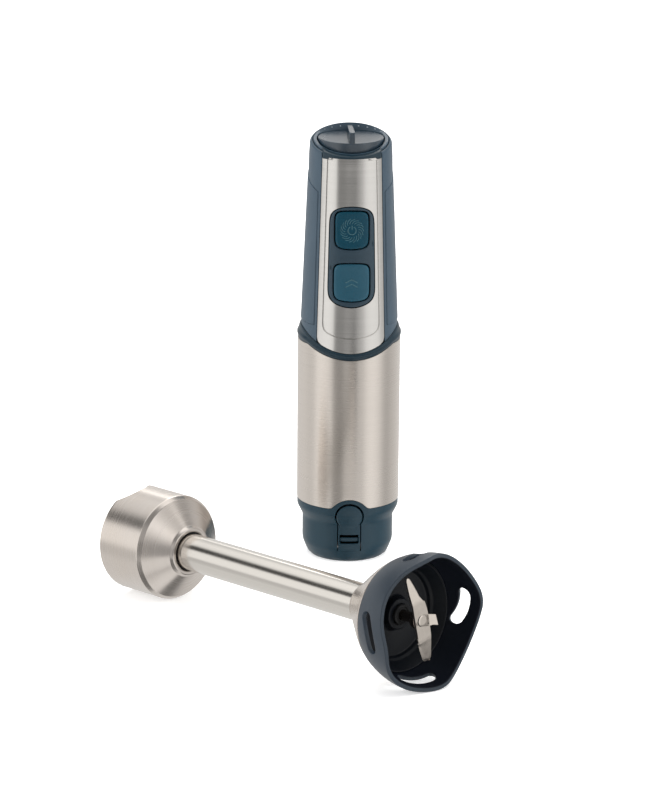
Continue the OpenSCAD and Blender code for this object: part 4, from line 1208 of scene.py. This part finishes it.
# ---------- CAD nodes that stay ----------
CARRIED = {
    "black": ["speed_potentiometer", "switch_bracket", "upper_bracket", "lower_bracket", "brush_holders",
              "drive_socket", "cooling_fan", "upper_bush", "middle_bush", "lower_bush", "drive_dog"],
    "rubber": ["base_seal"],
    "red": ["microswitches"],
    "board": ["control_board"],
    "shaft": ["board_screws", "brush_springs", "motor_shaft", "dial_spindle", "shaft_circlip"],
    "iron": ["stator_core", "armature_core"],
    "copper": ["field_coils", "armature_windings"],
    "bronze": ["upper_bearing", "lower_bearing", "commutator"],
    "carbon": ["carbon_brushes"],
}
for tone, names in CARRIED.items():
    for name in names:
        for one in NODES[name].material_slots:
            one.material = M[tone]


# ---------- floor, light and camera ----------
def build_floor():
    mesh = bpy.data.meshes.new("studio_floor")
    size = 9.0
    corners = [(-size, -size, 0), (size, -size, 0), (size, size, 0), (-size, size, 0)]
    mesh.from_pydata(corners, [], [(0, 1, 2, 3)])
    floor = bpy.data.objects.new("studio_floor", mesh)
    bpy.context.scene.collection.objects.link(floor)
    mat, g, bsdf, at = new_material("floor_paper")
    soft = g.noise(at, 3.0, 2.0)
    g.put(bsdf, "Base Color", g.blend_colour(soft, (0.93, 0.93, 0.93, 1), (0.95, 0.95, 0.95, 1)))
    bsdf.inputs["Roughness"].default_value = 0.9
    bsdf.inputs["Specular IOR Level"].default_value = 0.1
    bsdf.inputs["Emission Color"].default_value = (1.0, 1.0, 1.0, 1.0)
    bsdf.inputs["Emission Strength"].default_value = 0.4
    mesh.materials.append(mat)
    floor.visible_glossy = False


def build_world():
    """Studio surroundings by direction: soft boxes left and right, a darker front, a light ceiling."""
    world = bpy.data.worlds.new("studio")
    bpy.context.scene.world = world
    world.use_nodes = True
    g = Graph(world.node_tree)
    out = g.add("ShaderNodeOutputWorld")
    back = g.add("ShaderNodeBackground")
    g.tree.links.new(back.outputs[0], out.inputs["Surface"])
    split = g.add("ShaderNodeSeparateXYZ")
    g.put(split, 0, g.add("ShaderNodeTexCoord").outputs["Generated"])
    x, y, z = split.outputs
    azimuth = g.math("MULTIPLY", g.math("ARCTAN2", x, g.math("MULTIPLY", y, -1.0)), 180 / pi)
    height = g.math("MULTIPLY", g.math("ARCSINE", z), 180 / pi)

    def smooth(value, lo, hi):
        return g.span(value, lo, hi, kind="SMOOTHSTEP")

    def zone(az, el, soft_az, soft_el):
        a = g.math("MULTIPLY", smooth(azimuth, az[0] - soft_az, az[0] + soft_az),
                   g.math("SUBTRACT", 1.0, smooth(azimuth, az[1] - soft_az, az[1] + soft_az)))
        b = g.math("MULTIPLY", smooth(height, el[0] - soft_el, el[0] + soft_el),
                   g.math("SUBTRACT", 1.0, smooth(height, el[1] - soft_el, el[1] + soft_el)))
        return g.math("MULTIPLY", a, b)

    def toward(value, target, factor):
        node = g.add("ShaderNodeMix", data_type="FLOAT")
        g.put(node, 0, factor)
        g.put(node, 2, value)
        g.put(node, 3, target)
        return node.outputs[0]

    # brightness round the horizon, by azimuth from the camera's side
    stops = [(-180, 0.80), (-117, 0.80), (-102, 0.68), (-88, 0.70), (-77, 1.10), (-52, 1.20), (-41, 1.08),
             (-36, 0.50), (-6, 0.46), (6, 0.34), (13, 0.32), (20, 0.46), (29, 0.68), (40, 1.02), (52, 1.12),
             (70, 1.06), (80, 0.76), (92, 0.58), (107, 0.66), (124, 0.74), (147, 0.84), (180, 0.80)]
    ramp = g.add("ShaderNodeValToRGB")
    elements = ramp.color_ramp.elements
    while len(elements) > 1:
        elements.remove(elements[-1])
    for i, (az, v) in enumerate(stops):
        e = elements[0] if i == 0 else elements.new((az + 180) / 360)
        e.position = (az + 180) / 360
        e.color = (v / 2, v / 2, v / 2, 1)
    g.put(ramp, 0, g.math("DIVIDE", g.math("ADD", azimuth, 180.0), 360.0))
    value = g.math("MULTIPLY", ramp.outputs[0], 2.0)
    value = toward(value, 1.15, zone((-135, -78), (-7, 23), 9, 4))
    value = toward(value, 0.06, zone((-150, -84), (24, 38), 8, 3))
    value = toward(value, 0.28, zone((-34, 12), (-12, 14), 4, 2))
    value = toward(value, 0.85, zone((-160, -84), (-70, -24), 6, 6))
    value = toward(value, 0.2, zone((66, 112), (-70, -27), 6, 5))
    value = toward(value, 0.22, zone((-62, 20), (-95, -24), 12, 8))
    value = toward(value, 1.0, zone((-14, 26), (-40, -15), 5, 2))
    value = toward(value, 1.0, zone((26, 64), (-80, -30), 6, 6))
    value = toward(value, 1.35, zone((22, 80), (8, 48), 6, 8))
    value = toward(value, 1.25, smooth(height, 36, 43))
    value = toward(value, 0.4, zone((86, 104), (16, 50), 4, 5))
    value = toward(value, 1.4, smooth(height, 55, 72))
    value = toward(value, 3.8, zone((160, 200), (26, 50), 8, 4))
    value = toward(value, 3.8, zone((-200, -174), (26, 50), 3, 4))
    value = toward(value, 0.3, g.math("MULTIPLY", smooth(g.math("MULTIPLY", y, -1.0), 0.02, 0.3),
                                      smooth(z, 0.5, 0.72)))
    tint = g.add("ShaderNodeCombineColor")
    g.put(tint, 0, value)
    g.put(tint, 1, g.math("MULTIPLY", value, 0.99))
    g.put(tint, 2, g.math("MULTIPLY", value, 0.975))
    g.put(back, "Color", tint.outputs[0])
    back.inputs["Strength"].default_value = 1.0


def area_light(name, at, aim, size, power, colour=(1, 1, 1)):
    data = bpy.data.lights.new(name, "AREA")
    data.shape = "RECTANGLE"
    data.size, data.size_y = size
    data.energy = power
    data.color = colour
    obj = bpy.data.objects.new(name, data)
    bpy.context.scene.collection.objects.link(obj)
    obj.location = at
    obj.rotation_euler = (Vector(aim) - Vector(at)).to_track_quat("-Z", "Y").to_euler()
    obj.visible_camera = False
    obj.visible_glossy = False
    return obj


def build_camera():
    target = Vector((-13.93, 0.51, 82.37)) * MM
    forward = Vector((0.03523, 0.96070, -0.27534)).normalized()
    right = Vector((0.99933, -0.03664, 0.0)).normalized()
    up = right.cross(forward)
    roll = radians(0.433)
    right, up = right * cos(roll) + up * sin(roll), up * cos(roll) - right * sin(roll)
    place = target - forward * 2.0862
    data = bpy.data.cameras.new("camera")
    data.sensor_fit = "VERTICAL"
    data.sensor_height = 36.0
    data.lens = 172.9
    data.clip_start, data.clip_end = 0.05, 60.0
    cam = bpy.data.objects.new("camera", data)
    bpy.context.scene.collection.objects.link(cam)
    rot = Matrix((right, up, -forward)).transposed()
    cam.matrix_world = Matrix.Translation(place) @ rot.to_4x4()
    bpy.context.scene.camera = cam


build_floor()
build_world()
area_light("ceiling_box", (0.1, 0.1, 2.2), (0, -0.05, 0.0), (2.6, 2.2), 22.0)
area_light("left_box", (-1.6, -0.2, 0.7), (0, -0.05, 0.1), (1.0, 1.2), 17.0)
area_light("right_box", (1.6, -0.1, 0.7), (0, -0.05, 0.1), (1.0, 1.2), 17.0)
build_camera()
bpy.context.scene.view_settings.view_transform = "Standard"
